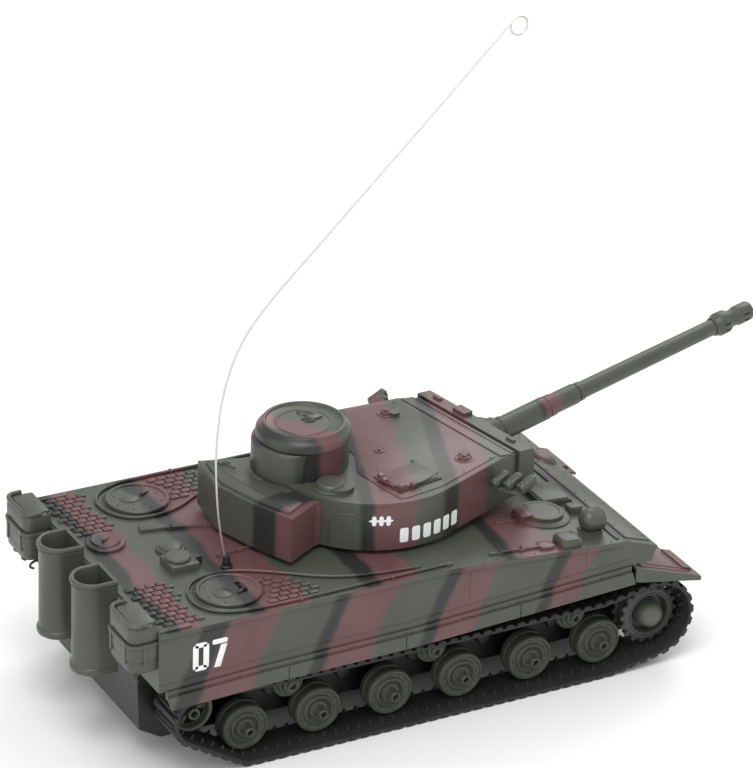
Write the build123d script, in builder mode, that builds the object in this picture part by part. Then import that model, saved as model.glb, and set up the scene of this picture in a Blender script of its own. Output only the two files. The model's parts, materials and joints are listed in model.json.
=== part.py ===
from build123d import *
import math
import os

# Radio controlled battle tank, 1:24 class, an assembly of separate pieces.
# Millimetres.  +X is forward, +Y is the tank's left, +Z is up, the ground is z = 0.
# The pieces are drawn from the middle of the skirts.  save() then moves each one so that the
# origin is under the middle of the whole outline, which reaches from the rear box to the muzzle.

# ---- driving dimensions -------------------------------------------------------------------
fit_gap = 0.05            # radial play of a shaft in its bore
body_gap = 0.1            # gap between neighbours that are screwed or clipped together
free_gap = 0.4            # gap between a moving piece and what it passes

# hull
hull_half = 66.0          # half the width of the upper hull
tub_half = 41.0           # half the width of the lower hull
shell_wall = 1.8          # wall of the upper hull
tub_wall = 1.6            # wall of the lower hull
rear_x = -117.0           # rear plate
deck_z = 74.5             # flat part of the deck
deck_break_x = 20.0       # where the deck starts to slope down
deck_front = (107.7, 68.0)
glacis_front = (123.5, 62.5)
belly_z = 9.5             # underside of the lower hull

# running gear
track_outer = 65.2        # outer edge of the track from the middle
track_width = 20.7
plate_t = 1.4             # track plate
cleat_h = 1.2             # cleat under the plate
link_pitch = 5.6
wheel_r = 10.73
wheel_x = -71.2           # rearmost road wheel
wheel_step = 34.82
wheel_count = 6
wheel_inner = 46.8        # inner and outer faces of a road wheel
wheel_outer = 56.3
nose_end = 60.85          # end of the hollow hub nose
nose_r = 2.3
roller_r = 7.2
roller_x = -49.4
roller_step = 69.64
roller_count = 3
roller_z = 28.9
roller_outer = 56.8
idler_x = -96.7
idler_z = 28.0
idler_r = 9.7
sprocket_x = 127.8
sprocket_z = 22.6
sprocket_tip_r = 14.6
sprocket_teeth = 18
belt_nose = (126.5, 23.8, 16.9)   # circle that the inside of the track follows round the sprocket
pin_r = 0.95              # stub axles
pin_head_r = 1.35

# final drive gears, inside the lower hull
gear_module = 0.5
gear_teeth = 24
pinion_teeth = 10
pressure_angle = math.radians(25)
gear_thin = 0.05          # taken off each side of a tooth, as backlash
gear_face = (30.0, 34.0)  # where the gears lie across the hull
drive_shaft_r = 1.5
motor_shaft_r = 0.75
motor_r = 6.4
motor_length = 20.0

# turret
turret_x = 13.73
yaw = math.radians(10.97)
turret_r = 45.0
turret_low = 76.6         # underside of the turret
turret_top = 98.9         # turret roof
turret_wall = 1.8
ring_r = 38.0             # turret ring opening in the deck
turret_front = 57.0       # front wall, from the turret axis
turret_front_half = 33.5
cupola_at = (-26.2, 12.1)
cupola_r = 20.8
cupola_top = 119.2
bin_low = 76.8
mantlet_half = 35.0
mantlet_x = (57.2, 66.0)
mantlet_z = (76.9, 98.6)

# gun
gun_pitch = math.radians(6.8)
trunnion_x = 61.5         # trunnion from the turret axis
gun_base_z = 80.2         # height of the gun's axis carried back to the turret axis
drum_r = 9.3              # round gun root in the mantlet
drum_half = 10.6
trunnion_r = 1.5
sleeve_r = 5.35
barrel_r = 3.9
brake_r = 5.5
gun_end = 229.0           # muzzle from the turret axis, along the gun

# deck and rear fittings
skirt_outer = 68.0
skirt_height = 8.7
filter_x = (rear_x - 13.2, rear_x - 0.2)
filter_y = (41.0, 65.6)
filter_top = 81.0
exhaust_x = rear_x - 8.0
exhaust_y = 17.0
exhaust_r = 8.7
exhaust_z = (36.5, 80.3)
fan_at = (-75.0, 45.0)
fan_r = 14.0
cable_r = 0.8
antenna_y = -25.0
antenna_r = 0.5
antenna_route = [(-66.2, 75.2), (-70.0, 93.4), (-71.9, 116.0), (-72.1, 136.0), (-69.6, 157.0), (-62.2, 178.6),
                 (-48.4, 195.6), (-28.4, 214.7), (-2.3, 240.0), (26.5, 267.9), (54.3, 295.4), (61.2, 302.4)]
antenna_loop_r = 4.0

# inside
cell_r = 7.1              # AA cell
cell_length = 50.5
cell_count = 4
board_size = (58.0, 44.0, 1.6)
door_size = (62.0, 60.0, 1.6)
screw_r = 1.4

# ---- places worked out from them ----------------------------------------------------------
track_t = plate_t + cleat_h
wheel_z = track_t + 0.37 + wheel_r
track_inner = track_outer - track_width
gear_centres = gear_module * (gear_teeth + pinion_teeth) / 2
motor_x = sprocket_x - gear_centres
trunnion_z = gun_base_z + trunnion_x * math.tan(gun_pitch)
trunnion_along = trunnion_x / math.cos(gun_pitch)
trunnion_world = (turret_x + trunnion_x * math.cos(yaw), trunnion_x * math.sin(yaw), trunnion_z)
gun_dir = Vector(math.cos(gun_pitch) * math.cos(yaw), math.cos(gun_pitch) * math.sin(yaw), math.sin(gun_pitch))
gun_left = Vector(-math.sin(yaw), math.cos(yaw), 0)
gun_length = gun_end - trunnion_along
muzzle_x = trunnion_world[0] + gun_dir.X * gun_length
exhaust_rear = exhaust_x - exhaust_r - 0.8
origin_x = (exhaust_rear + muzzle_x + abs(gun_dir.Z) * 4.5) / 2


def turret_plane(height):
    """A level plane centred on the turret's axis and turned with the turret."""
    return Plane(origin=(turret_x, 0, height), x_dir=(math.cos(yaw), math.sin(yaw), 0), z_dir=(0, 0, 1))


def wall_low(x):
    """Height of the lower edge of the upper hull, which rises in three straight runs."""
    knots = [(-117.0, 47.2), (-66.0, 49.3), (4.0, 50.2), (112.0, 55.5)]
    for (x0, z0), (x1, z1) in zip(knots, knots[1:]):
        if x <= x1:
            return z0 + (x - x0) * (z1 - z0) / (x1 - x0)
    return knots[-1][1]


def prism(points, plane, depth, both=False, mode=Mode.ADD):
    """A straight prism over a closed outline."""
    with BuildSketch(plane) as profile:
        with BuildLine():
            Polyline(*points, close=True)
        make_face()
    extrude(profile.sketch, amount=depth, both=both, mode=mode)


def block(x0, x1, y0, y1, z0, z1, plane=None, mode=Mode.ADD):
    """A block between two corners, level with the ground or with a given plane at z = 0."""
    base = (plane or Plane.XY).offset(z0)
    with BuildSketch(base) as profile:
        with Locations(((x0 + x1) / 2, (y0 + y1) / 2)):
            Rectangle(abs(x1 - x0), abs(y1 - y0))
    extrude(profile.sketch, amount=z1 - z0, mode=mode)


def post(x, y, radius, z0, z1, plane=None, mode=Mode.ADD):
    """An upright round post or, when subtracted, a hole."""
    base = (plane or Plane.XY).offset(z0)
    with BuildSketch(base) as profile:
        with Locations((x, y)):
            Circle(radius)
    extrude(profile.sketch, amount=z1 - z0, mode=mode)


def turned(profile, x, z, side, mode=Mode.ADD):
    """A body turned about a crosswise axle.  The profile is (radius, distance from the middle)."""
    with BuildSketch(Plane(origin=(x, 0, z), x_dir=(1, 0, 0), z_dir=(0, 0, side))) as section:
        with BuildLine():
            Polyline(*profile, close=True)
        make_face()
    revolve(section.sketch, axis=Axis((x, 0, z), (0, 1, 0)), mode=mode)


def cross_bore(x, z, radius, y0, y1, side, mode=Mode.SUBTRACT):
    """A crosswise cylinder between two distances from the middle, cut unless told otherwise."""
    turned([(0, y0), (radius, y0), (radius, y1), (0, y1)], x, z, side, mode)


def save(piece, label):
    """Move a finished piece into the assembly's frame, name it and write its file."""
    placed = piece.moved(Location((-origin_x, 0, 0)))
    placed.label = label
    export_step(placed, f"parts/{label}.step")


os.makedirs("parts", exist_ok=True)
sides = {"right": -1, "left": 1}

# ---- lower hull: a tub with bosses for the axles and a screwed battery opening -----------------
tub_outline = [(-114.0, belly_z + 6.0), (-104.0, belly_z), (118.0, belly_z), (133.0, 12.0), (142.0, 30.0),
               (142.0, 44.0), (122.0, 52.5), (-115.2, 45.0)]
wheel_places = [(wheel_x + i * wheel_step, wheel_z) for i in range(wheel_count)]
roller_places = [(roller_x + i * roller_step, roller_z) for i in range(roller_count)]
axle_places = wheel_places + roller_places + [(idler_x, idler_z)]
door_x = (-62.0, -62.0 + door_size[0])
with BuildPart() as lower_hull:
    prism(tub_outline, Plane.XZ, tub_half, both=True)
    with BuildSketch(Plane.XZ):
        with BuildLine():
            Polyline(*tub_outline, close=True)
        make_face()
        offset(amount=-tub_wall, kind=Kind.INTERSECTION, mode=Mode.REPLACE)
    extrude(amount=tub_half - tub_wall, both=True, mode=Mode.SUBTRACT)
    block(-113.0, 117.0, -(tub_half - tub_wall), tub_half - tub_wall, 44.0, 60.0, mode=Mode.SUBTRACT)
    for side in sides.values():
        for x, z in axle_places:
            cross_bore(x, z, 3.2, tub_half, wheel_inner - free_gap, side, Mode.ADD)
            cross_bore(x, z, pin_r, tub_half - tub_wall - 1, wheel_inner + 1, side)
        for x, z in wheel_places[:-1]:
            cross_bore(x + wheel_step / 2, wheel_z + 9.0, 3.4, tub_half, tub_half + 2.2, side, Mode.ADD)
        cross_bore(sprocket_x, sprocket_z, 6.0, tub_half, tub_half + 2.6, side, Mode.ADD)
        cross_bore(sprocket_x, sprocket_z, drive_shaft_r + fit_gap, tub_half - tub_wall - 1, tub_half + 4, side)
    block(door_x[0] - body_gap, door_x[1] + body_gap, -door_size[1] / 2 - body_gap, door_size[1] / 2 + body_gap,
          belly_z - 1, belly_z + tub_wall + 1, mode=Mode.SUBTRACT)
    for y in (-22.0, 22.0):
        block(door_x[0] - 6, door_x[0] + 3, y - 4, y + 4, belly_z + tub_wall, belly_z + tub_wall + 3)
        block(door_x[1] - 3, door_x[1] + 6, y - 4, y + 4, belly_z + tub_wall, belly_z + tub_wall + 3)
        for x in (door_x[0], door_x[1]):
            inward = 1.3 if x == door_x[0] else -1.3
            post(x + inward, y, 0.7, belly_z - 1, belly_z + tub_wall + 4, mode=Mode.SUBTRACT)
save(lower_hull.part, "lower_hull")

with BuildPart() as battery_door:
    block(door_x[0], door_x[1], -door_size[1] / 2, door_size[1] / 2, belly_z, belly_z + door_size[2])
    for i in range(5):
        x = door_x[0] + 14 + i * 3
        block(x, x + 1.2, -12, 12, belly_z, belly_z + 0.5, mode=Mode.SUBTRACT)
    for y in (-22.0, 22.0):
        for x in (door_x[0] + 1.3, door_x[1] - 1.3):
            post(x, y, 0.7, belly_z - 1, belly_z + 4, mode=Mode.SUBTRACT)
save(battery_door.part, "battery_door")

# ---- upper hull: shell with sloping nose, turret ring opening and switch slot ------------------
hull_outline = [(rear_x, wall_low(rear_x)), (rear_x, deck_z), (deck_break_x, deck_z), deck_front, glacis_front,
                (121.0, wall_low(112.0)), (112.0, wall_low(112.0)), (4.0, wall_low(4.0)), (-66.0, wall_low(-66.0))]
switch_at = (-69.0, -44.5)
switch_slot = (2.6, 9.0)
deck_low = deck_z - shell_wall
seat_low = deck_z - 5.9       # underside of the turret seat, level where the deck slopes
with BuildPart() as upper_hull:
    prism(hull_outline, Plane.XZ, hull_half, both=True)
    with BuildSketch(Plane.XZ):
        with BuildLine():
            Polyline(*hull_outline, close=True)
        make_face()
        offset(amount=-shell_wall, kind=Kind.INTERSECTION, mode=Mode.REPLACE)
    extrude(amount=hull_half - shell_wall, both=True, mode=Mode.SUBTRACT)
    # the open bottom over the tub, and the notch that the tub's nose fills
    block(rear_x + shell_wall + 1.2, 150, -tub_half - body_gap, tub_half + body_gap, 40, 55.9, mode=Mode.SUBTRACT)
    post(turret_x, 0, ring_r + 4.5, seat_low, deck_z)
    post(turret_x, 0, ring_r, seat_low - 1, deck_z + 1, mode=Mode.SUBTRACT)
    for y in (-1, 1):
        # raised fan covers
        post(fan_at[0], y * fan_at[1], fan_r, deck_z, deck_z + 1.3)
    block(switch_at[0] - switch_slot[0] / 2, switch_at[0] + switch_slot[0] / 2, switch_at[1] - switch_slot[1] / 2,
          switch_at[1] + switch_slot[1] / 2, deck_low - 1, deck_z + 2, mode=Mode.SUBTRACT)
    # driver's visor block and the two front hatches on the slope
    slope = math.atan2(deck_z - deck_front[1], deck_front[0] - deck_break_x)
    slope_plane = Plane(origin=(deck_break_x, 0, deck_z), x_dir=(math.cos(slope), 0, -math.sin(slope)),
                        z_dir=(math.sin(slope), 0, math.cos(slope)))
    block(68, 83, -26, -8, -0.5, 2.4, plane=slope_plane)
    for y in (-33.0, 33.0):
        post(64, y, 11.5, -0.5, 1.4, plane=slope_plane)
        post(64, y, 9.5, 1.4, 2.2, plane=slope_plane)
        block(50.5, 57.5, y - 4, y + 4, -0.5, 2.6, plane=slope_plane)
save(upper_hull.part, "upper_hull")

# ---- side skirts ------------------------------------------------------------------------------
skirt_x = (-113.4, 110.4)
with BuildPart() as skirt_right:
    knots = [skirt_x[0], -66.0, 4.0, skirt_x[1]]
    lower_edge = [(x + 2, wall_low(x) - skirt_height - body_gap) for x in reversed(knots)]
    prism([(x, wall_low(x) - 2.6) for x in knots] + lower_edge, Plane.XZ.offset(hull_half), skirt_outer - hull_half)
    prism([(x, wall_low(x) - body_gap) for x in knots] + [(x, wall_low(x) - 4) for x in reversed(knots)],
          Plane.XZ.offset(hull_half - 0.8), 1.7)
    for i in range(1, 4):
        x = skirt_x[0] + i * (skirt_x[1] - skirt_x[0]) / 4
        block(x - 0.25, x + 0.25, -skirt_outer - 1, -skirt_outer + 0.5, 30, wall_low(x) - 2.7, mode=Mode.SUBTRACT)
save(skirt_right.part, "skirt_right")
with BuildPart() as skirt_left:
    mirror(skirt_right.part, about=Plane.XZ)
save(skirt_left.part, "skirt_left")

# ---- front mudguards --------------------------------------------------------------------------
fender_back = (112.6, 54.4)
fender_front = (146.8, 42.6)
fender_y = (tub_half + 0.3, 67.5)
with BuildPart() as fender_right:
    prism([fender_back, fender_front, (146.8, 41.2), (fender_back[0], fender_back[1] - 1.4)],
          Plane.XZ.offset(fender_y[0]), fender_y[1] - fender_y[0])
    prism([fender_back, fender_front, (146.8, 40.5), (115.0, 46.6), (fender_back[0], 47.4)],
          Plane.XZ.offset(fender_y[1] - 1.2), 1.2)
    prism([(140.0, 44.0), (144.6, 43.3), (144.6, 44.6), (140.0, 46.2)], Plane.XZ.offset(fender_y[0] + 3), 18)
save(fender_right.part, "fender_right")
with BuildPart() as fender_left:
    mirror(fender_right.part, about=Plane.XZ)
save(fender_left.part, "fender_left")

# ---- air filter boxes on the rear plate ---------------------------------------------------------
filter_mid = (filter_y[0] + filter_y[1]) / 2
filter_depth = filter_x[1] - filter_x[0]
filter_span = filter_y[1] - filter_y[0]
with BuildPart() as air_filter_right:
    for z0, z1, inset in ((58.0, 69.5, 1.0), (69.5, 71.0, -0.0), (71.0, filter_top - 1.6, 0.6),
                          (filter_top - 1.6, filter_top, 1.8)):
        with BuildSketch(Plane.XY.offset(z0)):
            with Locations(((filter_x[0] + filter_x[1] + inset) / 2, -filter_mid)):
                Rectangle(filter_depth - inset, filter_span - 2 * inset)
            rear_corners = vertices().group_by(Axis.X)[0]
            fillet(rear_corners, 5.0 - inset)
        extrude(amount=z1 - z0)
    block(filter_x[0] + 3, filter_x[1], -filter_y[1] + 3, -filter_y[1] + 6, 52.0, 58.0)
    block(filter_x[0] + 3, filter_x[1], -filter_y[0] - 6, -filter_y[0] - 3, 52.0, 58.0)
save(air_filter_right.part, "air_filter_right")
with BuildPart() as air_filter_left:
    mirror(air_filter_right.part, about=Plane.XZ)
save(air_filter_left.part, "air_filter_left")

# ---- exhaust shrouds: half-round shells open at the top, with a pipe inside ---------------------
exhaust_wall = 1.3
for name, side in sides.items():
    with BuildPart() as exhaust:
        for radius, z0, z1 in ((exhaust_r, exhaust_z[0], exhaust_z[1]),
                               (exhaust_r + 0.8, exhaust_z[0], exhaust_z[0] + 3.2),
                               (exhaust_r + 0.8, exhaust_z[1] - 2.4, exhaust_z[1])):
            post(exhaust_x, side * exhaust_y, radius, z0, z1)
            block(exhaust_x, rear_x - body_gap, side * exhaust_y - radius, side * exhaust_y + radius, z0, z1)
        post(exhaust_x, side * exhaust_y, exhaust_r - exhaust_wall, exhaust_z[0] + 3, exhaust_z[1] + 1,
             mode=Mode.SUBTRACT)
        block(exhaust_x, rear_x - 2.0, side * exhaust_y - exhaust_r + exhaust_wall,
              side * exhaust_y + exhaust_r - exhaust_wall, exhaust_z[0] + 3, exhaust_z[1] + 1, mode=Mode.SUBTRACT)
        post(exhaust_x, side * exhaust_y, 3.6, exhaust_z[0] + 2, exhaust_z[1] - 14)
        block(rear_x - body_gap, rear_x + 12, side * exhaust_y - 12, side * exhaust_y + 12, exhaust_z[0] - 1,
              exhaust_z[1] + 1, mode=Mode.SUBTRACT)
    save(exhaust.part, f"exhaust_{name}")

# ---- headlight on the sloping deck ------------------------------------------------------------
headlight_at = (97.0, -52.0)
headlight_z = deck_z - (headlight_at[0] - deck_break_x) * math.tan(slope)
with BuildPart() as headlight:
    post(headlight_at[0], headlight_at[1], 2.2, headlight_z - 0.4, headlight_z + 3)
    with BuildSketch(Plane(origin=(headlight_at[0], headlight_at[1], headlight_z + 5.5), x_dir=(1, 0, 0),
                           z_dir=(0, -1, 0))):
        with BuildLine():
            Polyline((-5.0, 0), (5.2, 0), (5.2, 4.6), (4.2, 5.4), (0, 4.6), (-3.6, 2.6), (-5.0, 0))
        make_face()
    revolve(axis=Axis((headlight_at[0], headlight_at[1], headlight_z + 5.5), (1, 0, 0)))
save(headlight.part, "headlight")

# ---- tow cables: a doubled wire on each side of the deck, looped round the fan covers ------------
cable_z = deck_z + cable_r
cable_route = [(22.0, -62.6), (-28.0, -62.9), (-66.0, -63.6), (-84.0, -61.4), (-93.2, -52.0), (-92.0, -38.0),
               (-83.0, -28.6), (-66.0, -28.6), (-50.0, -38.2), (-30.9, -52.2), (-12.0, -57.6), (8.3, -59.6)]


def bend_radii(route):
    """The largest arc that fits at each inner corner of a route."""
    radii = []
    for before, here, after in zip(route, route[1:], route[2:]):
        run_in = Vector(*here) - Vector(*before)
        run_out = Vector(*after) - Vector(*here)
        turn = math.radians(run_in.get_angle(run_out))
        radii.append(0.45 * min(run_in.length, run_out.length) / math.tan(turn / 2))
    return radii


with BuildPart() as tow_cable:
    for side in (1, -1):
        route = [(x, side * y, cable_z) for x, y in cable_route]
        with BuildLine():
            wire = FilletPolyline(*route, radius=bend_radii(route))
        with BuildSketch(Plane(origin=wire @ 0, z_dir=wire % 0)):
            Circle(cable_r)
        sweep()
save(tow_cable.part, "tow_cable")

# ---- tools and small hatches on the deck --------------------------------------------------------
with BuildPart() as deck_tools:
    # engine deck: filler cap, round hatch, jack with its handle, pry bar
    post(-81, -1, 6.5, deck_z, deck_z + 2.6)
    post(-104, 15, 8.6, deck_z, deck_z + 1.6)
    post(-104, 15, 6.4, deck_z + 1.6, deck_z + 2.6)
    block(-90, -77, -22, -9, deck_z, deck_z + 5)
    prism([(-77, -17.4), (-49.5, -14.8), (-49.5, -13.0), (-77, -13.6)], Plane.XY.offset(deck_z), 1.5)
    prism([(-88, 21), (-80, 25), (-78, 22), (-35.5, 6.6), (-36.2, 4.6), (-79, 19), (-84, 15)],
          Plane.XY.offset(deck_z), 1.5)
    # shovel and track tool box on the slope, beside the turret
    block(22, 41, -60.4, -58.8, 0, 1.3, plane=slope_plane)
    block(46, 54, -63.0, -56.0, 0, 1.5, plane=slope_plane)
    block(40, 47, -60.6, -58.6, 0, 1.3, plane=slope_plane)
    block(56, 66, -64.5, -55.0, 0, 4.0, plane=slope_plane)
save(deck_tools.part, "deck_tools")

# ---- radio antenna: a bowed spring wire with a safety loop at its tip --------------------------------
with BuildPart() as antenna:
    base_x, base_z = antenna_route[0][0], deck_z
    post(base_x, antenna_y, 2.6, base_z, base_z + 1.4)
    with BuildSketch(Plane.XY.offset(base_z + 1.4)):
        with Locations((base_x, antenna_y)):
            Circle(2.0)
    extrude(amount=5.0, taper=8)
    route = [(x, antenna_y, z) for x, z in antenna_route]
    tip = Vector(*route[-1])
    heading = (tip - Vector(*route[-2])).normalized()
    sideways = Vector(-heading.Z, 0, heading.X)
    loop_points = [tip + heading * antenna_loop_r * math.sin(a) + sideways * antenna_loop_r * (math.cos(a) - 1)
                   for a in (math.pi * 0.75, math.pi * 1.5)]
    with BuildLine():
        wire = FilletPolyline(*route, radius=bend_radii(route))
        ThreePointArc(tip, *loop_points)
    with BuildSketch(Plane(origin=wire @ 0, z_dir=wire % 0)):
        Circle(antenna_r)
    sweep(transition=Transition.ROUND)
save(antenna.part, "antenna")

# ---- stub axles, one group ---------------------------------------------------------------------------
with BuildPart() as axle_pins:
    for side in sides.values():
        for x, z in axle_places:
            end = nose_end - 2.4 if (x, z) != (idler_x, idler_z) and z < roller_z else roller_outer - 1.4
            turned([(0, tub_half - tub_wall - 1.2), (1.9, tub_half - tub_wall - 1.2), (1.9, tub_half - tub_wall),
                    (pin_r, tub_half - tub_wall), (pin_r, end - 0.9), (pin_head_r, end - 0.9), (pin_head_r, end),
                    (0, end)], x, z, side)
save(axle_pins.part, "axle_pins")

# ---- tracks: one closed belt a side, with cleats under every link ---------------------------------------
belt_circles = [belt_nose, (wheel_places[-1][0], wheel_z, wheel_r + 0.37),
                (wheel_places[0][0], wheel_z, wheel_r + 0.37), (idler_x, idler_z, idler_r + free_gap)]
belt_top = roller_z + roller_r + free_gap


def tangent(a, b):
    """Where the outer common tangent of two circles touches them, on the right going from a to b."""
    (xa, za, ra), (xb, zb, rb) = a, b
    along = math.atan2(zb - za, xb - xa)
    span = math.hypot(xb - xa, zb - za)
    normal = along + math.pi / 2 + math.asin((ra - rb) / span) * -1
    return [(x + r * math.cos(normal), z + r * math.sin(normal)) for x, z, r in (a, b)]


def arc_points(circle, start, end, step=2.0):
    """Points on a circle from one point to another, turning clockwise."""
    x, z, r = circle
    a0 = math.atan2(start[1] - z, start[0] - x)
    a1 = math.atan2(end[1] - z, end[0] - x)
    while a1 > a0:
        a1 -= 2 * math.pi
    count = max(1, math.ceil((a0 - a1) * r / step))
    return [(x + r * math.cos(a0 + (a1 - a0) * k / count), z + r * math.sin(a0 + (a1 - a0) * k / count))
            for k in range(count + 1)]


def belt_loop(spread):
    """Closed line that goes round the wheels, a given distance outside the inner face of the belt."""
    grown = [(x, z, r + spread) for x, z, r in belt_circles]
    idler = grown[-1]
    sprocket = grown[0]
    front_top = (wheel_places[-1][0] - 4, belt_top + spread, 0)
    rear_top = (roller_places[0][0] - 7, belt_top + spread, 0)
    bottoms = [tangent(a, b) for a, b in zip(grown, grown[1:])]
    up = tangent(idler, rear_top)
    down = tangent(front_top, sprocket)
    points = arc_points(sprocket, down[1], bottoms[0][0])
    points += arc_points(grown[1], bottoms[0][1], bottoms[1][0])
    points += arc_points(grown[2], bottoms[1][1], bottoms[2][0])
    points += arc_points(idler, bottoms[2][1], up[0])
    return points + [up[1], down[0]]


def evenly(points, pitch):
    """The same closed line, walked in equal steps, with the outward normal at each step."""
    lengths = [math.dist(p, q) for p, q in zip(points, points[1:] + points[:1])]
    total = sum(lengths)
    count = round(total / pitch)
    walk = []
    edge, run = 0, 0.0
    for k in range(count):
        want = k * total / count
        while run + lengths[edge] < want:
            run += lengths[edge]
            edge += 1
        p, q = points[edge], points[(edge + 1) % len(points)]
        t = (want - run) / lengths[edge]
        tangent_x, tangent_z = (q[0] - p[0]) / lengths[edge], (q[1] - p[1]) / lengths[edge]
        walk.append((p[0] + t * (q[0] - p[0]), p[1] + t * (q[1] - p[1]), tangent_x, tangent_z))
    return walk


inner_loop = belt_loop(0.0)
cleat_loop = []
for x, z, tx, tz in evenly(belt_loop(plate_t), link_pitch):
    for along, out in ((-1.9, 0.0), (-1.3, cleat_h), (1.1, cleat_h), (1.7, 0.0)):
        cleat_loop.append((x + along * tx - out * tz, z + along * tz + out * tx))
for name, side in sides.items():
    with BuildPart() as track:
        near = track_inner if side < 0 else -track_outer
        prism(cleat_loop, Plane.XZ.offset(near), track_width)
        prism(inner_loop, Plane.XZ.offset(near - 1), track_width + 2, mode=Mode.SUBTRACT)
    save(track.part, f"track_{name}")

# ---- what is inside ------------------------------------------------------------------------------------
cell_pitch = 2 * cell_r + 0.3
battery_z = belly_z + tub_wall + 3.4 + cell_r
with BuildPart() as battery_pack:
    x0 = -56.0
    with BuildSketch(Plane.YZ.offset(x0)):
        for i in range(cell_count):
            with Locations(((i - (cell_count - 1) / 2) * cell_pitch, battery_z)):
                Circle(cell_r)
        with Locations((0, battery_z)):
            Rectangle(cell_pitch * (cell_count - 1), 2 * cell_r - 2.4)
    extrude(amount=cell_length)
save(battery_pack.part, "battery_pack")

with BuildPart() as circuit_board:
    z0 = battery_z + cell_r + 6
    x0 = -58.0
    block(x0, x0 + board_size[0], -board_size[1] / 2, board_size[1] / 2, z0, z0 + board_size[2])
    for x, y, dx, dy, dz in ((10, -10, 9, 9, 1.6), (28, 4, 12, 8, 2.2), (46, -12, 6, 6, 5), (12, 12, 5, 10, 3.4),
                             (46, 12, 8, 7, 6)):
        block(x0 + x - dx / 2, x0 + x + dx / 2, y - dy / 2, y + dy / 2, z0 + board_size[2], z0 + board_size[2] + dz)
    for x, y in ((x0 + 5, 17), (x0 + 5, -17), (x0 + board_size[0] - 5, 17), (x0 + board_size[0] - 5, -17)):
        post(x, y, 2.4, battery_z + cell_r + body_gap, z0)
save(circuit_board.part, "circuit_board")

# gearbox: a floor plate with an upright on each side that carries the motor and the drive shaft
upright = (26.8, 28.4)
with BuildPart() as gearbox:
    floor_z = belly_z + tub_wall + body_gap
    block(100, 117, -upright[1], upright[1], floor_z, floor_z + 1.6)
    for side in sides.values():
        near = upright[0] if side < 0 else -upright[1]
        prism([(104, floor_z), (117, floor_z), (131, 18), (131, 32), (104, 33)], Plane.XZ.offset(near),
              upright[1] - upright[0])
        cross_bore(sprocket_x, sprocket_z, drive_shaft_r + fit_gap, upright[0] - 1, upright[1] + 1, side)
        cross_bore(motor_x, sprocket_z, 2.2, upright[0] - 1, upright[1] + 1, side)
save(gearbox.part, "gearbox")

with BuildPart() as drive_motors:
    for side in sides.values():
        end = upright[0] - body_gap
        start = end - motor_length
        turned([(motor_shaft_r + fit_gap, start + 6), (motor_r, start + 6), (motor_r, end - 1), (motor_r - 1, end),
                (motor_shaft_r + fit_gap, end)], motor_x, sprocket_z, side)
        turned([(0, start), (motor_r - 1.4, start), (motor_r - 0.4, start + 1), (motor_r - 0.4, start + 6),
                (0, start + 6)], motor_x, sprocket_z, side)
save(drive_motors.part, "drive_motors")

with BuildPart() as hull_screws:
    for y in (-22.0, 22.0):
        for x in (door_x[0] + 1.3, door_x[1] - 1.3):
            post(x, y, 0.7, belly_z, belly_z + tub_wall + 2.6)
            post(x, y, screw_r, belly_z - 0.8, belly_z)
save(hull_screws.part, "hull_screws")

with BuildPart() as switch_knob:
    travel = 4.0
    x, y = switch_at
    wide = switch_slot[0] - 2 * free_gap
    long = switch_slot[1] - travel - 2 * free_gap
    block(x - wide / 2, x + wide / 2, y - switch_slot[1] / 2 + free_gap, y - switch_slot[1] / 2 + free_gap + long,
          deck_low - 2.6, deck_z + 2.6)
    block(x - 4, x + 4, y - switch_slot[1] / 2 - 3, y - switch_slot[1] / 2 + long + 4, deck_low - 3.6,
          deck_low - free_gap)
save(switch_knob.part, "switch_knob")

# ---- turret ring: shoulder on the deck, neck through it, flange under it ------------------------------------
with BuildPart() as turret_ring:
    post(turret_x, 0, ring_r + 3.5, deck_z + body_gap, turret_low)
    post(turret_x, 0, ring_r - 0.08, seat_low - free_gap - 1.6, deck_z + body_gap)
    post(turret_x, 0, ring_r + 2.2, seat_low - free_gap - 1.6, seat_low - free_gap)
    post(turret_x, 0, ring_r - 3.0, seat_low - 6, turret_low + 2, mode=Mode.SUBTRACT)
save(turret_ring.part, "turret_ring")

# ---- turret shell -----------------------------------------------------------------------------------------
shoulder_x = 8.0
shoulder_y = math.sqrt(turret_r ** 2 - shoulder_x ** 2)
tp = turret_plane(0)
slot_half = drum_half + free_gap


def turret_plan(inset, height):
    """The horseshoe plan of the turret at a height, drawn in by a wall's thickness."""
    with BuildSketch(turret_plane(height)) as plan:
        with BuildLine():
            ThreePointArc((shoulder_x, shoulder_y - inset), (-turret_r + inset, 0), (shoulder_x, -shoulder_y + inset))
            Polyline((shoulder_x, -shoulder_y + inset), (turret_front - inset, -turret_front_half + inset),
                     (turret_front - inset, turret_front_half - inset), (shoulder_x, shoulder_y - inset))
        make_face()
    return plan.sketch


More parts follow.
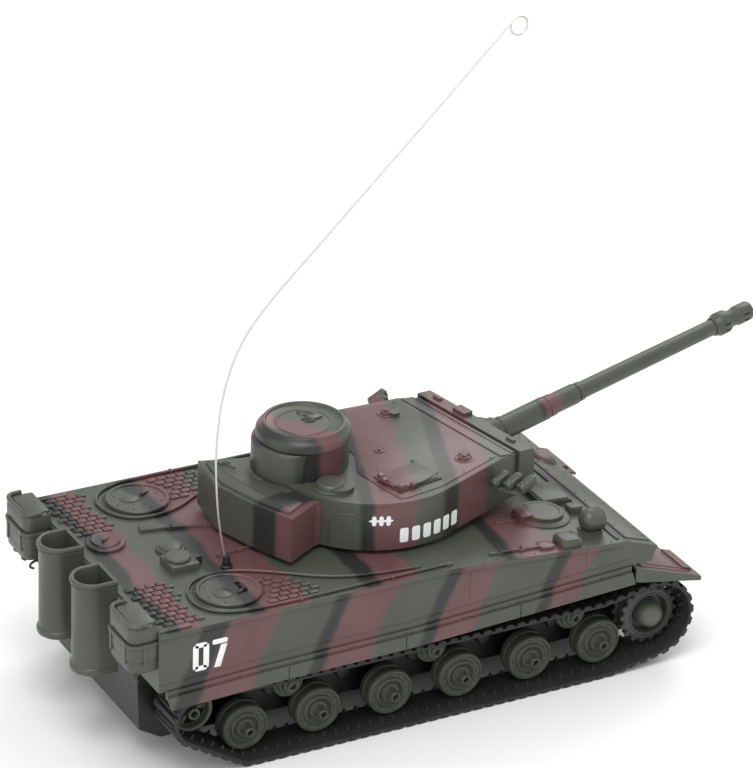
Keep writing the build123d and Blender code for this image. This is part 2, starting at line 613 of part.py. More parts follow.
with BuildPart() as turret_shell:
    extrude(turret_plan(0, turret_low), amount=turret_top - turret_low)
    post(*cupola_at, cupola_r + 1.7, turret_low + 3, turret_top, plane=tp)
    # the roof slopes down a little towards the gun
    with BuildSketch(Plane(origin=(turret_x, 0, 0), x_dir=(math.cos(yaw), math.sin(yaw), 0), z_dir=gun_left * -1)):
        with BuildLine():
            Polyline((46.4, turret_top), (turret_front + 1, turret_top - 2.0), (turret_front + 1, turret_top + 5),
                     (46.4, turret_top + 5), close=True)
        make_face()
    extrude(amount=60, both=True, mode=Mode.SUBTRACT)
    extrude(turret_plan(turret_wall, turret_low + turret_wall), amount=turret_top - turret_low - 2 * turret_wall - 1.4,
            mode=Mode.SUBTRACT)
    post(0, 0, ring_r - 3.0, turret_low - 1, turret_low + turret_wall + 1, plane=tp, mode=Mode.SUBTRACT)
    block(turret_front - 5, turret_front + 1, -slot_half, slot_half, trunnion_z - drum_r - free_gap,
          trunnion_z + drum_r + free_gap, plane=tp, mode=Mode.SUBTRACT)
    # roof fittings: loader's hatch, ventilator, small lifting knobs
    block(-11, 12, -36, -18, turret_top, turret_top + 1.2, plane=tp)
    post(-29, -17.0, 6.4, turret_top, turret_top + 2.2, plane=tp)
    post(34.7, -24, 2.4, turret_top, turret_top + 1.6, plane=tp)
    post(34.7, 24, 2.4, turret_top, turret_top + 1.6, plane=tp)
save(turret_shell.part, "turret_shell")

with BuildPart() as cupola:
    cx, cy = cupola_at
    post(cx, cy, cupola_r - 0.8, turret_top + body_gap, cupola_top - 3.4, plane=tp)
    post(cx, cy, cupola_r, cupola_top - 6.6, cupola_top - 2.6, plane=tp)
    post(cx, cy, cupola_r - 2.6, cupola_top - 2.6, cupola_top, plane=tp)
save(cupola.part, "cupola")

with BuildPart() as stowage_bin:
    with BuildSketch(turret_plane(bin_low)):
        with BuildLine():
            Polyline((-34, -19.5), (-43.6, -19.3), (-61.3, -25.4), (-66.4, -3), (-68.6, 18.7), (-61, 41), (-44.6, 32.6),
                     (-30, 28), close=True)
        make_face()
    extrude(amount=turret_top - bin_low - 1.5)
    post(0, 0, turret_r + body_gap, turret_low - 1, turret_top + 1, plane=tp, mode=Mode.SUBTRACT)
    post(*cupola_at, cupola_r + 1.7 + body_gap, turret_low - 1, turret_top + 1, plane=tp, mode=Mode.SUBTRACT)
save(stowage_bin.part, "stowage_bin")

launcher_x = 40.5
launcher_gap = 0.369      # from the turret's wall, where the foot of the plate starts
launcher_y = (shoulder_y + launcher_gap
              - (shoulder_y - turret_front_half) * (launcher_x - shoulder_x) / (turret_front - shoulder_x))
with BuildPart() as smoke_launchers:
    for side in (1, -1):
        block(launcher_x, launcher_x + 6.5, side * launcher_y, side * (launcher_y + 4.5), 88.0, 90.0, plane=tp)
        for k in range(3):
            tilt = Vector(math.cos(math.radians(20)), 0, math.sin(math.radians(20)))
            spot = tp.from_local_coords(Vector(launcher_x - 4 + k * 3.4, side * (launcher_y + 3.7 + k * 5.0), 91.0))
            ahead = (tp.x_dir * tilt.X + Vector(0, 0, tilt.Z)).normalized()
            with BuildSketch(Plane(origin=spot, z_dir=ahead)):
                Circle(2.5)
            extrude(amount=9.0)
            with BuildSketch(Plane(origin=spot + ahead * 3, z_dir=ahead)):
                Circle(1.7)
            extrude(amount=9.0, mode=Mode.SUBTRACT)
        block(launcher_x - 4, launcher_x + 3.5, side * (launcher_y + 2.5), side * (launcher_y + 14.5), 88.6, 90.4,
              plane=tp)
save(smoke_launchers.part, "smoke_launchers")

# ---- mantlet, with the slot and the trunnion bores that carry the gun ------------------------------------------
with BuildPart() as mantlet:
    side_plane = Plane(origin=(turret_x, 0, 0), x_dir=(math.cos(yaw), math.sin(yaw), 0), z_dir=gun_left * -1)
    x0, x1 = mantlet_x
    z0, z1 = mantlet_z
    prism([(x0, z0), (x1 - 1.5, z0), (x1, z0 + 1.5), (x1, z1 - 2.0), (x1 - 1.5, z1 - 0.6), (x0, z1)], side_plane,
          mantlet_half, both=True)
    block(x0 - 1, x1 + 1, -slot_half, slot_half, trunnion_z - drum_r - free_gap, trunnion_z + drum_r + free_gap,
          plane=tp, mode=Mode.SUBTRACT)
    with BuildSketch(side_plane):
        with Locations((trunnion_x, trunnion_z)):
            Circle(trunnion_r + fit_gap)
    extrude(amount=slot_half + 5, both=True, mode=Mode.SUBTRACT)
    block(x0 + 2, x1 - 2, 5, 13, z1 - 1, z1 + 1.4, plane=tp)
save(mantlet.part, "mantlet")

# ---- gun: drum and trunnions, stepped sleeve and barrel ------------------------------------------------------------
gun_plane = Plane(origin=trunnion_world, x_dir=gun_dir, z_dir=gun_left * -1)
gun_axis = Axis(trunnion_world, gun_dir)
sleeve_1 = 103.0 - trunnion_along
sleeve_2 = 121.0 - trunnion_along
brake_start = 206.0 - trunnion_along
with BuildPart() as gun_barrel:
    with BuildSketch(gun_plane):
        Circle(drum_r)
    extrude(amount=drum_half, both=True)
    with BuildSketch(gun_plane):
        Circle(trunnion_r)
    extrude(amount=slot_half + 4.4, both=True)
    with BuildSketch(gun_plane):
        with BuildLine():
            Polyline((0, 0), (0, 7.0), (12, 7.0), (13.5, sleeve_r), (sleeve_1, sleeve_r), (sleeve_1 + 0.6, 4.75),
                     (sleeve_2, 4.75), (sleeve_2 + 0.8, barrel_r + 0.1), (brake_start, barrel_r - 0.15),
                     (brake_start, 0), close=True)
        make_face()
    revolve(axis=gun_axis)
save(gun_barrel.part, "gun_barrel")

with BuildPart() as muzzle_brake:
    end = gun_length
    with BuildSketch(gun_plane):
        with BuildLine():
            Polyline((brake_start, 2.2), (brake_start, 4.3), (brake_start + 1.5, 4.6), (brake_start + 3.0, brake_r),
                     (brake_start + 8.0, brake_r), (brake_start + 10.0, 4.0), (end - 9.5, 4.0), (end - 8.0, 4.6),
                     (end, 4.5), (end, 2.2), close=True)
        make_face()
    revolve(axis=gun_axis)
    for along in (brake_start + 5.5, end - 4.6):
        window = Plane(origin=gun_plane.from_local_coords(Vector(along, 0, 0)), x_dir=gun_dir, z_dir=gun_left)
        with BuildSketch(window):
            RectangleRounded(3.4, 4.6, 1.2)
        extrude(amount=brake_r + 2, both=True, mode=Mode.SUBTRACT)
save(muzzle_brake.part, "muzzle_brake")


# ---- running gear -----------------------------------------------------------------------------------------------
def involute_gear(teeth, reach):
    """Outline of a spur gear: involute flanks above the base circle, straight roots below it."""
    pitch_r = gear_module * teeth / 2
    base_r = pitch_r * math.cos(pressure_angle)
    tip_r = pitch_r + 0.8 * gear_module
    root_r = pitch_r - 1.1 * gear_module
    flank_at = math.tan(pressure_angle) - pressure_angle
    half = math.pi / (2 * teeth) - gear_thin / pitch_r
    points = []
    for k in range(teeth):
        middle = 2 * math.pi * k / teeth + reach
        flank = []
        for step in range(6):
            r = max(base_r, root_r) + (tip_r - max(base_r, root_r)) * step / 5
            roll = math.acos(min(1.0, base_r / r))
            flank.append((r, half + flank_at - (math.tan(roll) - roll)))
        if root_r < base_r:
            flank.insert(0, (root_r, flank[0][1]))
        rising = [(r, middle - a) for r, a in flank]
        falling = [(r, middle + a) for r, a in reversed(flank)]
        points += [(r * math.cos(a), r * math.sin(a)) for r, a in rising + falling]
    return points


def crosswise(x, z, distance, side):
    """An upright plane across an axle, at a distance from the middle, facing outwards."""
    return Plane(origin=(x, side * distance, z), x_dir=(1, 0, 0), z_dir=(0, side, 0))


for name, side in sides.items():
    with BuildPart() as sprocket:
        bore = drive_shaft_r
        turned([(bore, 47.0), (5.0, 47.0), (5.0, 49.0), (10.8, 49.0), (10.8, 47.6), (12.4, 47.6), (12.4, 56.4),
                (11.6, 57.2), (10.0, 57.2), (9.2, 55.6), (8.7, 52.6), (6.4, 52.6), (6.4, 57.6), (5.9, 59.4),
                (4.6, 60.9), (2.6, 61.8), (0, 62.0), (0, 56.0), (bore, 56.0)], sprocket_x, sprocket_z, side)
        tooth = 2 * math.pi / sprocket_teeth
        outline = []
        for k in range(sprocket_teeth):
            for share, radius in ((-0.30, sprocket_tip_r - 1.6), (-0.16, sprocket_tip_r), (0.16, sprocket_tip_r),
                                  (0.30, sprocket_tip_r - 1.6)):
                angle = (k + share) * tooth
                outline.append((radius * math.cos(angle), radius * math.sin(angle)))
        for near in (47.6, 54.6):
            with BuildSketch(crosswise(sprocket_x, sprocket_z, near, side)):
                with BuildLine():
                    Polyline(*outline, close=True)
                make_face()
                Circle(12.0, mode=Mode.SUBTRACT)
            extrude(amount=1.8)
    save(sprocket.part, f"sprocket_{name}")

    with BuildPart() as drive_shaft:
        turned([(0, upright[0] - 1.6), (drive_shaft_r, upright[0] - 1.6), (drive_shaft_r, 56.0), (0, 56.0)],
               sprocket_x, sprocket_z, side)
        with BuildSketch(crosswise(sprocket_x, sprocket_z, gear_face[0], side)):
            with BuildLine():
                Polyline(*involute_gear(gear_teeth, 0), close=True)
            make_face()
            Circle(drive_shaft_r, mode=Mode.SUBTRACT)
        extrude(amount=gear_face[1] - gear_face[0])
    save(drive_shaft.part, f"drive_shaft_{name}")

    with BuildPart() as motor_pinion:
        # a tooth gap faces the gear, so that the two mesh where they are drawn
        with BuildSketch(crosswise(motor_x, sprocket_z, gear_face[0], side)):
            with BuildLine():
                Polyline(*involute_gear(pinion_teeth, math.pi / pinion_teeth), close=True)
            make_face()
        extrude(amount=gear_face[1] - gear_face[0])
        turned([(0, upright[0] - 12), (motor_shaft_r, upright[0] - 12), (motor_shaft_r, gear_face[0]),
                (0, gear_face[0])], motor_x, sprocket_z, side)
    save(motor_pinion.part, f"motor_pinion_{name}")

    with BuildPart() as idler:
        bore = pin_r + fit_gap
        head = pin_head_r + 0.15
        step_y = roller_outer - 2.4
        turned([(bore, 47.0), (3.4, 47.0), (3.4, 50.6), (7.6, 50.6), (7.6, 47.6), (idler_r, 47.6), (idler_r, 56.2),
                (7.9, 56.2), (7.4, 53.6), (3.0, 53.6), (2.7, 58.6), (head, 58.6), (head, step_y), (bore, step_y)],
               idler_x, idler_z, side)
        with BuildSketch(crosswise(idler_x, idler_z, 45, side)):
            with PolarLocations(5.4, 6, start_angle=30):
                SlotOverall(4.2, 2.6, rotation=90)
        extrude(amount=16, mode=Mode.SUBTRACT)
    save(idler.part, f"idler_{name}")

    for i, (x, z) in enumerate(wheel_places):
        with BuildPart() as road_wheel:
            step_y = nose_end - 3.4
            turned([(bore, wheel_inner), (4.0, wheel_inner), (4.0, 48.4), (9.2, 48.4), (9.2, wheel_inner + 0.4),
                    (wheel_r - 0.5, wheel_inner + 0.4), (wheel_r, wheel_inner + 0.9), (wheel_r, 50.6), (9.6, 50.8),
                    (9.6, 51.6), (wheel_r, 51.8), (wheel_r, wheel_outer - 0.8), (wheel_r - 0.6, wheel_outer - 0.2),
                    (9.0, wheel_outer), (8.4, 55.2), (6.2, 54.8), (5.8, wheel_outer), (5.0, wheel_outer),
                    (4.6, 54.6), (3.2, 55.2), (nose_r, 57.4), (nose_r, nose_end), (head, nose_end),
                    (head, step_y), (bore, step_y)], x, z, side)
        save(road_wheel.part, f"road_wheel_{name}_{i + 1}")

    for i, (x, z) in enumerate(roller_places):
        with BuildPart() as return_roller:
            step_y = roller_outer - 2.4
            turned([(bore, 47.0), (3.0, 47.0), (3.0, 48.6), (roller_r, 48.6), (roller_r, 52.2), (6.2, 52.4),
                    (6.2, 53.8), (5.0, 54.0), (5.0, 55.2), (3.6, 55.4), (3.4, roller_outer), (head, roller_outer),
                    (head, step_y), (bore, step_y)], x, z, side)
        save(return_roller.part, f"return_roller_{name}_{i + 1}")
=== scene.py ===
"""Radio controlled battle tank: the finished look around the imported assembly.

Sizes are written in millimetres and turned into metres by MM where a mesh is made.
Places on the hull are measured from the middle of the skirts, on the ground, +X forward, +Y left.
"""

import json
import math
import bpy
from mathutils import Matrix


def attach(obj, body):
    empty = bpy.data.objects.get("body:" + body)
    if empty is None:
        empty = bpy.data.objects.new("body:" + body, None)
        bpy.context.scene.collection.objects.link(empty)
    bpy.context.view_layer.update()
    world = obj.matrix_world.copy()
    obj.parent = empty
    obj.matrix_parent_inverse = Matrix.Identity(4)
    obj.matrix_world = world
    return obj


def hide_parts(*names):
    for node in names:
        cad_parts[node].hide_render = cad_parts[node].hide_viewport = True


bl_info = {
    "name": "Model Tank Finisher",
    "version": (1, 0, 0),
    "blender": (4, 5, 0),
    "location": "View3D > Sidebar > Tank",
    "description": "Builds the painted shell details, running gear and stage of a model tank",
    "category": "Object",
}

import bpy
import numpy as np
from bpy.props import FloatProperty, FloatVectorProperty, IntProperty, PointerProperty
from mathutils import Matrix, Vector

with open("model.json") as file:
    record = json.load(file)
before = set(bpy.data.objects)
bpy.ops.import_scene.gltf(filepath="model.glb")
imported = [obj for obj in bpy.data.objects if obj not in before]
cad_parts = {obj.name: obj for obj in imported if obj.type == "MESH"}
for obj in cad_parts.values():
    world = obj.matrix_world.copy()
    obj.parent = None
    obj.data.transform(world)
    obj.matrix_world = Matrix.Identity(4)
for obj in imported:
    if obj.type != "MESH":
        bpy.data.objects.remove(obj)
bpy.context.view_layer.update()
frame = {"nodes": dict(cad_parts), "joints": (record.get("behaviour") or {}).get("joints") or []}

MM = 0.001
JOINTS = {joint["name"]: joint for joint in frame["joints"]}
SIDES = {"right": -1, "left": 1}
TURRET_AXIS_X = 13.73
HULL_MIDDLE_X = JOINTS["turret_yaw"]["pos_m"][0] / MM - TURRET_AXIS_X
DECK = 74.5
HULL_HALF = 66.0
REAR = -117.0
BELLY = 9.5
PITCH_AXIS = Vector(JOINTS["gun_elevate"]["axis"])
YAW = math.atan2(PITCH_AXIS.x, -PITCH_AXIS.y)
TRUNNION = np.array(JOINTS["gun_elevate"]["pos_m"]) / MM - np.array([HULL_MIDDLE_X, 0, 0])
GUN_PITCH = math.radians(-JOINTS["gun_elevate"]["range_deg"][0])
ROOF = 98.9


# ---- shapes: every solid is a pair of a vertex array and a list of faces, in millimetres ---------


class Place:
    """A position and three directions, by which a solid's own coordinates are put on the tank."""

    def __init__(self, origin=(0, 0, 0), x=(1, 0, 0), z=(0, 0, 1)):
        self.origin = np.array(origin, float)
        self.z = np.array(z, float) / np.linalg.norm(z)
        x = np.array(x, float)
        x = x - self.z * (x @ self.z)
        self.x = x / np.linalg.norm(x)
        self.y = np.cross(self.z, self.x)

    def put(self, points):
        """Own coordinates to tank coordinates: origin + a * x + b * y + c * z."""
        points = np.asarray(points, float)
        return self.origin + points @ np.array([self.x, self.y, self.z])

    def at(self, a, b, c=0.0, turn=0.0):
        """The same directions moved by (a, b, c) in its own coordinates, then turned about its z."""
        x = self.x * math.cos(turn) + self.y * math.sin(turn)
        return Place(self.put([a, b, c]), x, self.z)


HULL = Place()
TURRET = Place((TURRET_AXIS_X, 0, 0), (math.cos(YAW), math.sin(YAW), 0))
GUN_DIRECTION = np.array([math.cos(GUN_PITCH) * math.cos(YAW), math.cos(GUN_PITCH) * math.sin(YAW),
                          math.sin(GUN_PITCH)])
GUN = Place(TRUNNION, np.array([-math.sin(YAW), math.cos(YAW), 0]), GUN_DIRECTION)


def skin(rings, wrap_u=False, caps=True):
    """A surface through rings of points: ring k joins ring k + 1 point by point, each ring is closed.
    With caps the first and last rings are closed by a face, with wrap_u they join each other.  The
    faces are turned round where the enclosed volume comes out negative."""
    rings = np.asarray(rings, float)
    count, around = rings.shape[:2]
    index = np.arange(count * around).reshape(count, around)
    upper = np.roll(index, -1, axis=0) if wrap_u else index[1:]
    lower = index if wrap_u else index[:-1]
    quads = np.stack([lower, np.roll(lower, -1, 1), np.roll(upper, -1, 1), upper],
                     -1).reshape(-1, 4)
    vertices = rings.reshape(-1, 3)
    a, b, c, d = (vertices[quads[:, k]] - vertices.mean(0) for k in range(4))
    volume = np.sum(a * np.cross(b, c)) + np.sum(a * np.cross(c, d))
    faces = quads.tolist()
    if caps and not wrap_u:
        faces += [index[0, ::-1].tolist(), index[-1].tolist()]
        for ring, turn in ((rings[0], -1), (rings[-1], 1)):
            edge = ring - vertices.mean(0)
            volume += turn * np.sum(edge.mean(0) * np.cross(edge, np.roll(edge, -1, 0)))
    if volume < 0:
        faces = [face[::-1] for face in faces]
    return vertices, faces


def join(*solids):
    """Several solids as one pair of vertices and faces."""
    points, faces, start = [], [], 0
    for vertices, polygons in solids:
        points.append(vertices)
        faces += [[i + start for i in polygon] for polygon in polygons]
        start += len(vertices)
    return np.concatenate(points), faces


def rounded(corners, radius, steps=3):
    """A closed outline whose corners are replaced by arcs: each corner is cut back by radius and
    joined by a quadratic curve through steps + 1 points."""
    corners = np.asarray(corners, float)
    before = np.roll(corners, 1, 0) - corners
    after = np.roll(corners, -1, 0) - corners
    reach_before = np.minimum(radius, np.linalg.norm(before, axis=1) * 0.49)[:, None]
    reach_after = np.minimum(radius, np.linalg.norm(after, axis=1) * 0.49)[:, None]
    start = corners + before / np.linalg.norm(before, axis=1)[:, None] * reach_before
    end = corners + after / np.linalg.norm(after, axis=1)[:, None] * reach_after
    t = np.linspace(0, 1, steps + 1)[None, :, None]
    curve = (1 - t) ** 2 * start[:, None] + 2 * t * (1 - t) * corners[:, None] + t**2 * end[:, None]
    return curve.reshape(-1, 2)


def inward(outline, distance):
    """The outline drawn in by a distance: each point moves along the mean of its edges' normals,
    by the distance over the cosine of half the turn."""
    outline = np.asarray(outline, float)
    edge = np.roll(outline, -1, 0) - outline
    edge = edge / np.maximum(np.linalg.norm(edge, axis=1), 1e-9)[:, None]
    normal = np.stack([-edge[:, 1], edge[:, 0]], 1)
    middle = normal + np.roll(normal, 1, 0)
    length = np.maximum(np.linalg.norm(middle, axis=1), 1e-6)
    middle = middle / length[:, None]
    stretch = 1 / np.maximum((middle * normal).sum(1), 0.4)
    area = 0.5 * np.sum(outline[:, 0] * np.roll(outline[:, 1],
                                                -1) - np.roll(outline[:, 0], -1) * outline[:, 1])
    return outline + middle * (stretch * distance * math.copysign(1, area))[:, None]


def slab(outline, low, high, bevel=0.2, place=HULL, foot=None):
    """A plate over a closed outline: a bevelled edge profile carried along the outline, capped.
    The foot is the bevel at the lower edge, the same as the upper one unless given."""
    outline = np.asarray(outline, float)
    area = 0.5 * np.sum(outline[:, 0] * np.roll(outline[:, 1],
                                                -1) - np.roll(outline[:, 0], -1) * outline[:, 1])
    if area < 0:
        outline = outline[::-1]
    foot = bevel if foot is None else foot
    levels = [(foot, low), (foot * 0.3, low + foot * 0.3), (0, low + foot), (0, high - bevel),
              (bevel * 0.3, high - bevel * 0.3), (bevel, high)]
    if foot == 0:
        levels = levels[2:]
    rings = [np.column_stack([inward(outline, d), np.full(len(outline), z)]) for d, z in levels]
    vertices, faces = skin(rings)
    return place.put(vertices), faces


def brick(size, place=HULL, bevel=0.15, corner=0.3):
    """A small block with rounded corners standing on its place, given by length, width, height."""
    a, b = size[0] / 2, size[1] / 2
    outline = rounded([(-a, -b), (a, -b), (a, b), (-a, b)], corner, 2)
    return slab(outline, 0, size[2], bevel, place, foot=0)


def turned(profile, place=HULL, segments=48, closed=False):
    """A surface of revolution about the place's z: profile points are (radius, height)."""
    profile = np.asarray(profile, float)
    angle = np.linspace(0, 2 * math.pi, segments, endpoint=False)
    rings = np.stack([profile[:, :1] * np.cos(angle), profile[:, :1] * np.sin(angle),
                      np.repeat(profile[:, 1:2], segments, 1)], -1)
    vertices, faces = skin(rings, wrap_u=closed, caps=not closed)
    return place.put(vertices), faces


def along(path):
    """Unit tangents of a path and two directions across it, carried on without twist."""
    path = np.asarray(path, float)
    tangent = np.gradient(path, axis=0)
    tangent /= np.linalg.norm(tangent, axis=1)[:, None]
    start = np.cross(tangent[0], [0, 0, 1] if abs(tangent[0][2]) < 0.9 else [0, 1, 0])
    across = [start / np.linalg.norm(start)]
    for t in tangent[1:]:
        step = across[-1] - t * (across[-1] @ t)
        across.append(step / np.linalg.norm(step))
    across = np.array(across)
    return tangent, across, np.cross(tangent, across)


def tube(path, radius, segments=12, place=HULL, lobes=0, twist=0.0, depth=0.0, closed=False):
    """A round section carried along a path.  With lobes its radius is r * (1 + depth * cos(lobes *
    (angle - twist * length))), which gives the lay of a twisted wire."""
    path = place.put(path)
    _, side, up = along(path)
    length = np.concatenate([[0], np.cumsum(np.linalg.norm(np.diff(path, axis=0), axis=1))])
    angle = np.linspace(0, 2 * math.pi, segments, endpoint=False)
    swell = 1 + depth * np.cos(lobes * (angle[None] - twist * length[:, None]))
    reach = (radius * swell)[:, :, None]
    sideways = side[:, None] * np.cos(angle)[None, :, None]
    upward = up[:, None] * np.sin(angle)[None, :, None]
    rings = path[:, None] + reach * (sideways + upward)
    return skin(rings, wrap_u=closed, caps=not closed)


def rivets(spots, radius=0.45, height=0.3, place=HULL):
    """Round-headed rivets, each a low dome of two rings, at (a, b) or (a, b, c) in the place."""
    rows = []
    angle = np.linspace(0, 2 * math.pi, 8, endpoint=False)
    for spot in spots:
        a, b, c = (list(spot) + [0.0])[:3]
        rings = [np.stack([a + radius * share * np.cos(angle), b + radius * share * np.sin(angle),
                           np.full(8, c + height * rise)], -1)
                 for share, rise in ((1.0, -0.3), (1.0, 0.25), (0.75, 0.75), (0.3, 1.0))]
        vertices, faces = skin(rings)
        rows.append((place.put(vertices), faces))
    return join(*rows)


def scatter(solid, places):
    """The same solid set at several places."""
    vertices, faces = solid
    return join(*[(place.put(vertices), faces) for place in places])


def piece(name, solid, material, body, node=None, smooth=35):
    """Make one object of a solid, give it a material and its body and, where it stands for CAD nodes,
    hide those nodes."""
    vertices, faces = solid
    mesh = bpy.data.meshes.new(name)
    placed = (vertices + np.array([HULL_MIDDLE_X, 0, 0])) * MM
    mesh.from_pydata(placed.tolist(), [], faces)
    mesh.validate()
    mesh.update()
    thing = bpy.data.objects.new(name, mesh)
    bpy.context.scene.collection.objects.link(thing)
    mesh.materials.append(material)
    mesh.shade_smooth()
    mesh.set_sharp_from_angle(angle=math.radians(smooth))
    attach(thing, body)
    if node:
        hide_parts(*([node] if isinstance(node, str) else node))
    return thing


# ---- shader expressions -------------------------------------------------------------------------


class Shade:
    """A node tree being built.  node() adds a node and returns its first output, wrapped."""

    def __init__(self, name):
        self.material = bpy.data.materials.get(name) or bpy.data.materials.new(name)
        self.material.use_nodes = True
        self.tree = self.material.node_tree
        self.tree.nodes.clear()
        self.output = self.tree.nodes.new("ShaderNodeOutputMaterial")

    def node(self, kind, settings=None, inputs=None, output=0):
        made = self.tree.nodes.new(kind)
        for key, value in (settings or {}).items():
            if key == "stops":
                ramp = made.color_ramp
                while len(ramp.elements) > 1:
                    ramp.elements.remove(ramp.elements[-1])
                for number, (position, colour) in enumerate(value):
                    stop = ramp.elements[0] if number == 0 else ramp.elements.new(position)
                    stop.position = position
                    stop.color = (*colour, 1) if len(colour) == 3 else colour
            else:
                setattr(made, key, value)
        for key, value in (inputs or {}).items():
            if isinstance(value, Wire):
                self.tree.links.new(value.socket, made.inputs[key])
            else:
                made.inputs[key].default_value = value
        return Wire(self, made.outputs[output])

    def place(self, scale=(1, 1, 1), turn=(0, 0, 0), shift=(0, 0, 0)):
        """Object coordinates in millimetres, moved, turned and scaled."""
        raw = self.node("ShaderNodeTexCoord", output=3)
        return self.node("ShaderNodeMapping", {"vector_type": "POINT"},
                         {0: raw, "Location": shift, "Rotation": turn,
                          "Scale": [s * 1000 for s in scale]})

    def noise(self, where, scale, detail=3.0, rough=0.5):
        return self.node("ShaderNodeTexNoise", {"noise_dimensions": "3D"},
                         {"Vector": where, "Scale": scale, "Detail": detail, "Roughness": rough})

    def mix(self, factor, first, second):
        return self.node("ShaderNodeMix", {"data_type": "RGBA"}, {0: factor, 6: first, 7: second},
                         2)

    def surface(self, colour, roughness, metallic=0.0, height=None, bump=0.1, distance=0.0002,
                **plain):
        """The principled shader with a bump from a height, and plain numbers on its other sockets."""
        inputs = {"Base Color": colour, "Roughness": roughness, "Metallic": metallic}
        if height is not None:
            inputs["Normal"] = self.node("ShaderNodeBump", {},
                                         {"Strength": bump, "Distance": distance, "Height": height})
        inputs.update({key.replace("_", " "): value for key, value in plain.items()})
        shader = self.node("ShaderNodeBsdfPrincipled", {}, inputs)
        self.tree.links.new(shader.socket, self.output.inputs[0])
        return self.material


class Wire:
    """A number or colour travelling through a shader; sums and products add their Math nodes."""

    def __init__(self, shade, socket):
        self.shade, self.socket = shade, socket

    def maths(self, operation, first, second=0.0):
        return self.shade.node("ShaderNodeMath", {"operation": operation}, {0: first, 1: second})

    def __add__(self, other):
        return self.maths("ADD", self, other)

    __radd__ = __add__

    def __sub__(self, other):
        return self.maths("SUBTRACT", self, other)

    def __rsub__(self, other):
        return self.maths("SUBTRACT", other, self)

    def __mul__(self, other):
        return self.maths("MULTIPLY", self, other)

    __rmul__ = __mul__

    def __truediv__(self, other):
        return self.maths("DIVIDE", self, other)

    def step(self, low, high):
        """0 below low, 1 above high, smooth between."""
        return self.shade.node("ShaderNodeMapRange", {"interpolation_type": "SMOOTHSTEP"},
                               {0: self, 1: low, 2: high, 3: 0.0, 4: 1.0})


# ---- what a user would change -------------------------------------------------------------------


def colour(label, text, value):
    return FloatVectorProperty(name=label, description=text, default=value, size=3, min=0, max=1,
                               subtype="COLOR")


class TankPaint(bpy.types.PropertyGroup):
    """Colours of the camouflage and of the bare parts."""

    green: colour("Field green", "Base coat", (0.060, 0.066, 0.050))
    rose: colour("Brick red", "Broad camouflage bands", (0.118, 0.054, 0.055))
    dark: colour("Dark grey", "Narrow shadow bands", (0.020, 0.020, 0.020))
    chassis: colour("Chassis black", "Lower hull plastic", (0.0060, 0.0058, 0.0055))
    rubber: colour("Track rubber", "Track links", (0.014, 0.014, 0.0145))
    wheel: colour("Wheel green", "Road wheels and rollers", (0.055, 0.060, 0.045))
    sprocket: colour("Sprocket grey", "Drive sprockets and idlers", (0.052, 0.053, 0.052))
    stencil: colour("Stencil white", "Markings", (0.80, 0.81, 0.80))
    band_blur: FloatProperty(name="Band blur",
                             description="Width of the airbrushed edge in millimetres",
                             default=2.2, min=0.2, max=10)


class TankSizes(bpy.types.PropertyGroup):
    """Sizes of the repeated small pieces, in millimetres."""

    rivet: FloatProperty(name="Rivet radius", description="Radius of a rivet head", default=0.45,
                         min=0.1, max=2)
    link_pitch: FloatProperty(name="Link pitch", description="Length of one track link",
                              default=5.6, min=2, max=12)
    brick_length: FloatProperty(name="Grille brick", description="Length of one grille brick",
                                default=4.0, min=1, max=9)
    wheel_bolts: IntProperty(name="Wheel bolts", description="Bolts on a road wheel's disc",
                             default=12, min=3, max=24)


def paint():
    return bpy.context.scene.tank_paint


def sizes():
    return bpy.context.scene.tank_sizes


# ---- finishes -----------------------------------------------------------------------------------


def bands_ramp(shade, distance, bands, span):
    """Colours along a distance: green, and in each band dark grey, then brick red, with soft edges.
    bands lists (start of the dark, start of the red, end of the red); span is the ramp's two ends."""
    colours = paint()
    blur = colours.band_blur
    low, high = span
    green, rose, dark = tuple(colours.green), tuple(colours.rose), tuple(colours.dark)
    stops = [(0.0, green)]
    for dark_start, red_start, red_end in bands:
        for edge, before, after in ((dark_start, green, dark), (red_start, dark, rose),
                                    (red_end, rose, green)):
            stops.append(((edge - blur / 2 - low) / (high - low), before))
            stops.append(((edge + blur / 2 - low) / (high - low), after))
    share = shade.node("ShaderNodeMapRange", {}, {0: distance, 1: low, 2: high, 3: 0.0, 4: 1.0})
    return shade.node("ShaderNodeValToRGB", {"stops": stops}, {0: share})


def across_bands(shade, where, direction, centre, warp):
    """Distance along a direction from a centre, in millimetres, pushed about by two noises."""
    direction = np.array(direction, float)
    start = -float(direction @ (np.array(centre, float) + [HULL_MIDDLE_X, 0, 0]))
    run = shade.node("ShaderNodeVectorMath", {"operation": "DOT_PRODUCT"},
                     {0: where, 1: direction.tolist()}, 1)
    slow = shade.noise(where, 0.020, 2.0) - 0.5
    quick = shade.noise(where, 0.09, 2.0) - 0.5
    return run + start + slow * (warp * 6) + quick * (warp * 1.5)


def painted(shade, where, coat):
    """Satin paint over moulded plastic: cloudy tone, fine grain in gloss and height, pale worn specks."""
    grain = shade.noise(where, 2.6, 4.0, 0.6)
    cloud = shade.noise(where, 0.06, 3.0)
    tone = shade.node("ShaderNodeHueSaturation", {}, {"Value": cloud * 0.5 + 0.75, "Color": coat})
    worn = shade.mix(grain.step(0.64, 0.80) * 0.22, tone, (0.20, 0.21, 0.18, 1))
    return shade.surface(worn, grain * 0.16 + 0.30, height=grain, bump=0.22, distance=0.00010)


def camouflage(name, direction, centre, bands, span, warp=2.0):
    """Airbrushed bands across a piece, worked out along one direction."""
    shade = Shade(name)
    where = shade.place()
    coat = bands_ramp(shade, across_bands(shade, where, direction, centre, warp), bands, span)
    return painted(shade, where, coat)


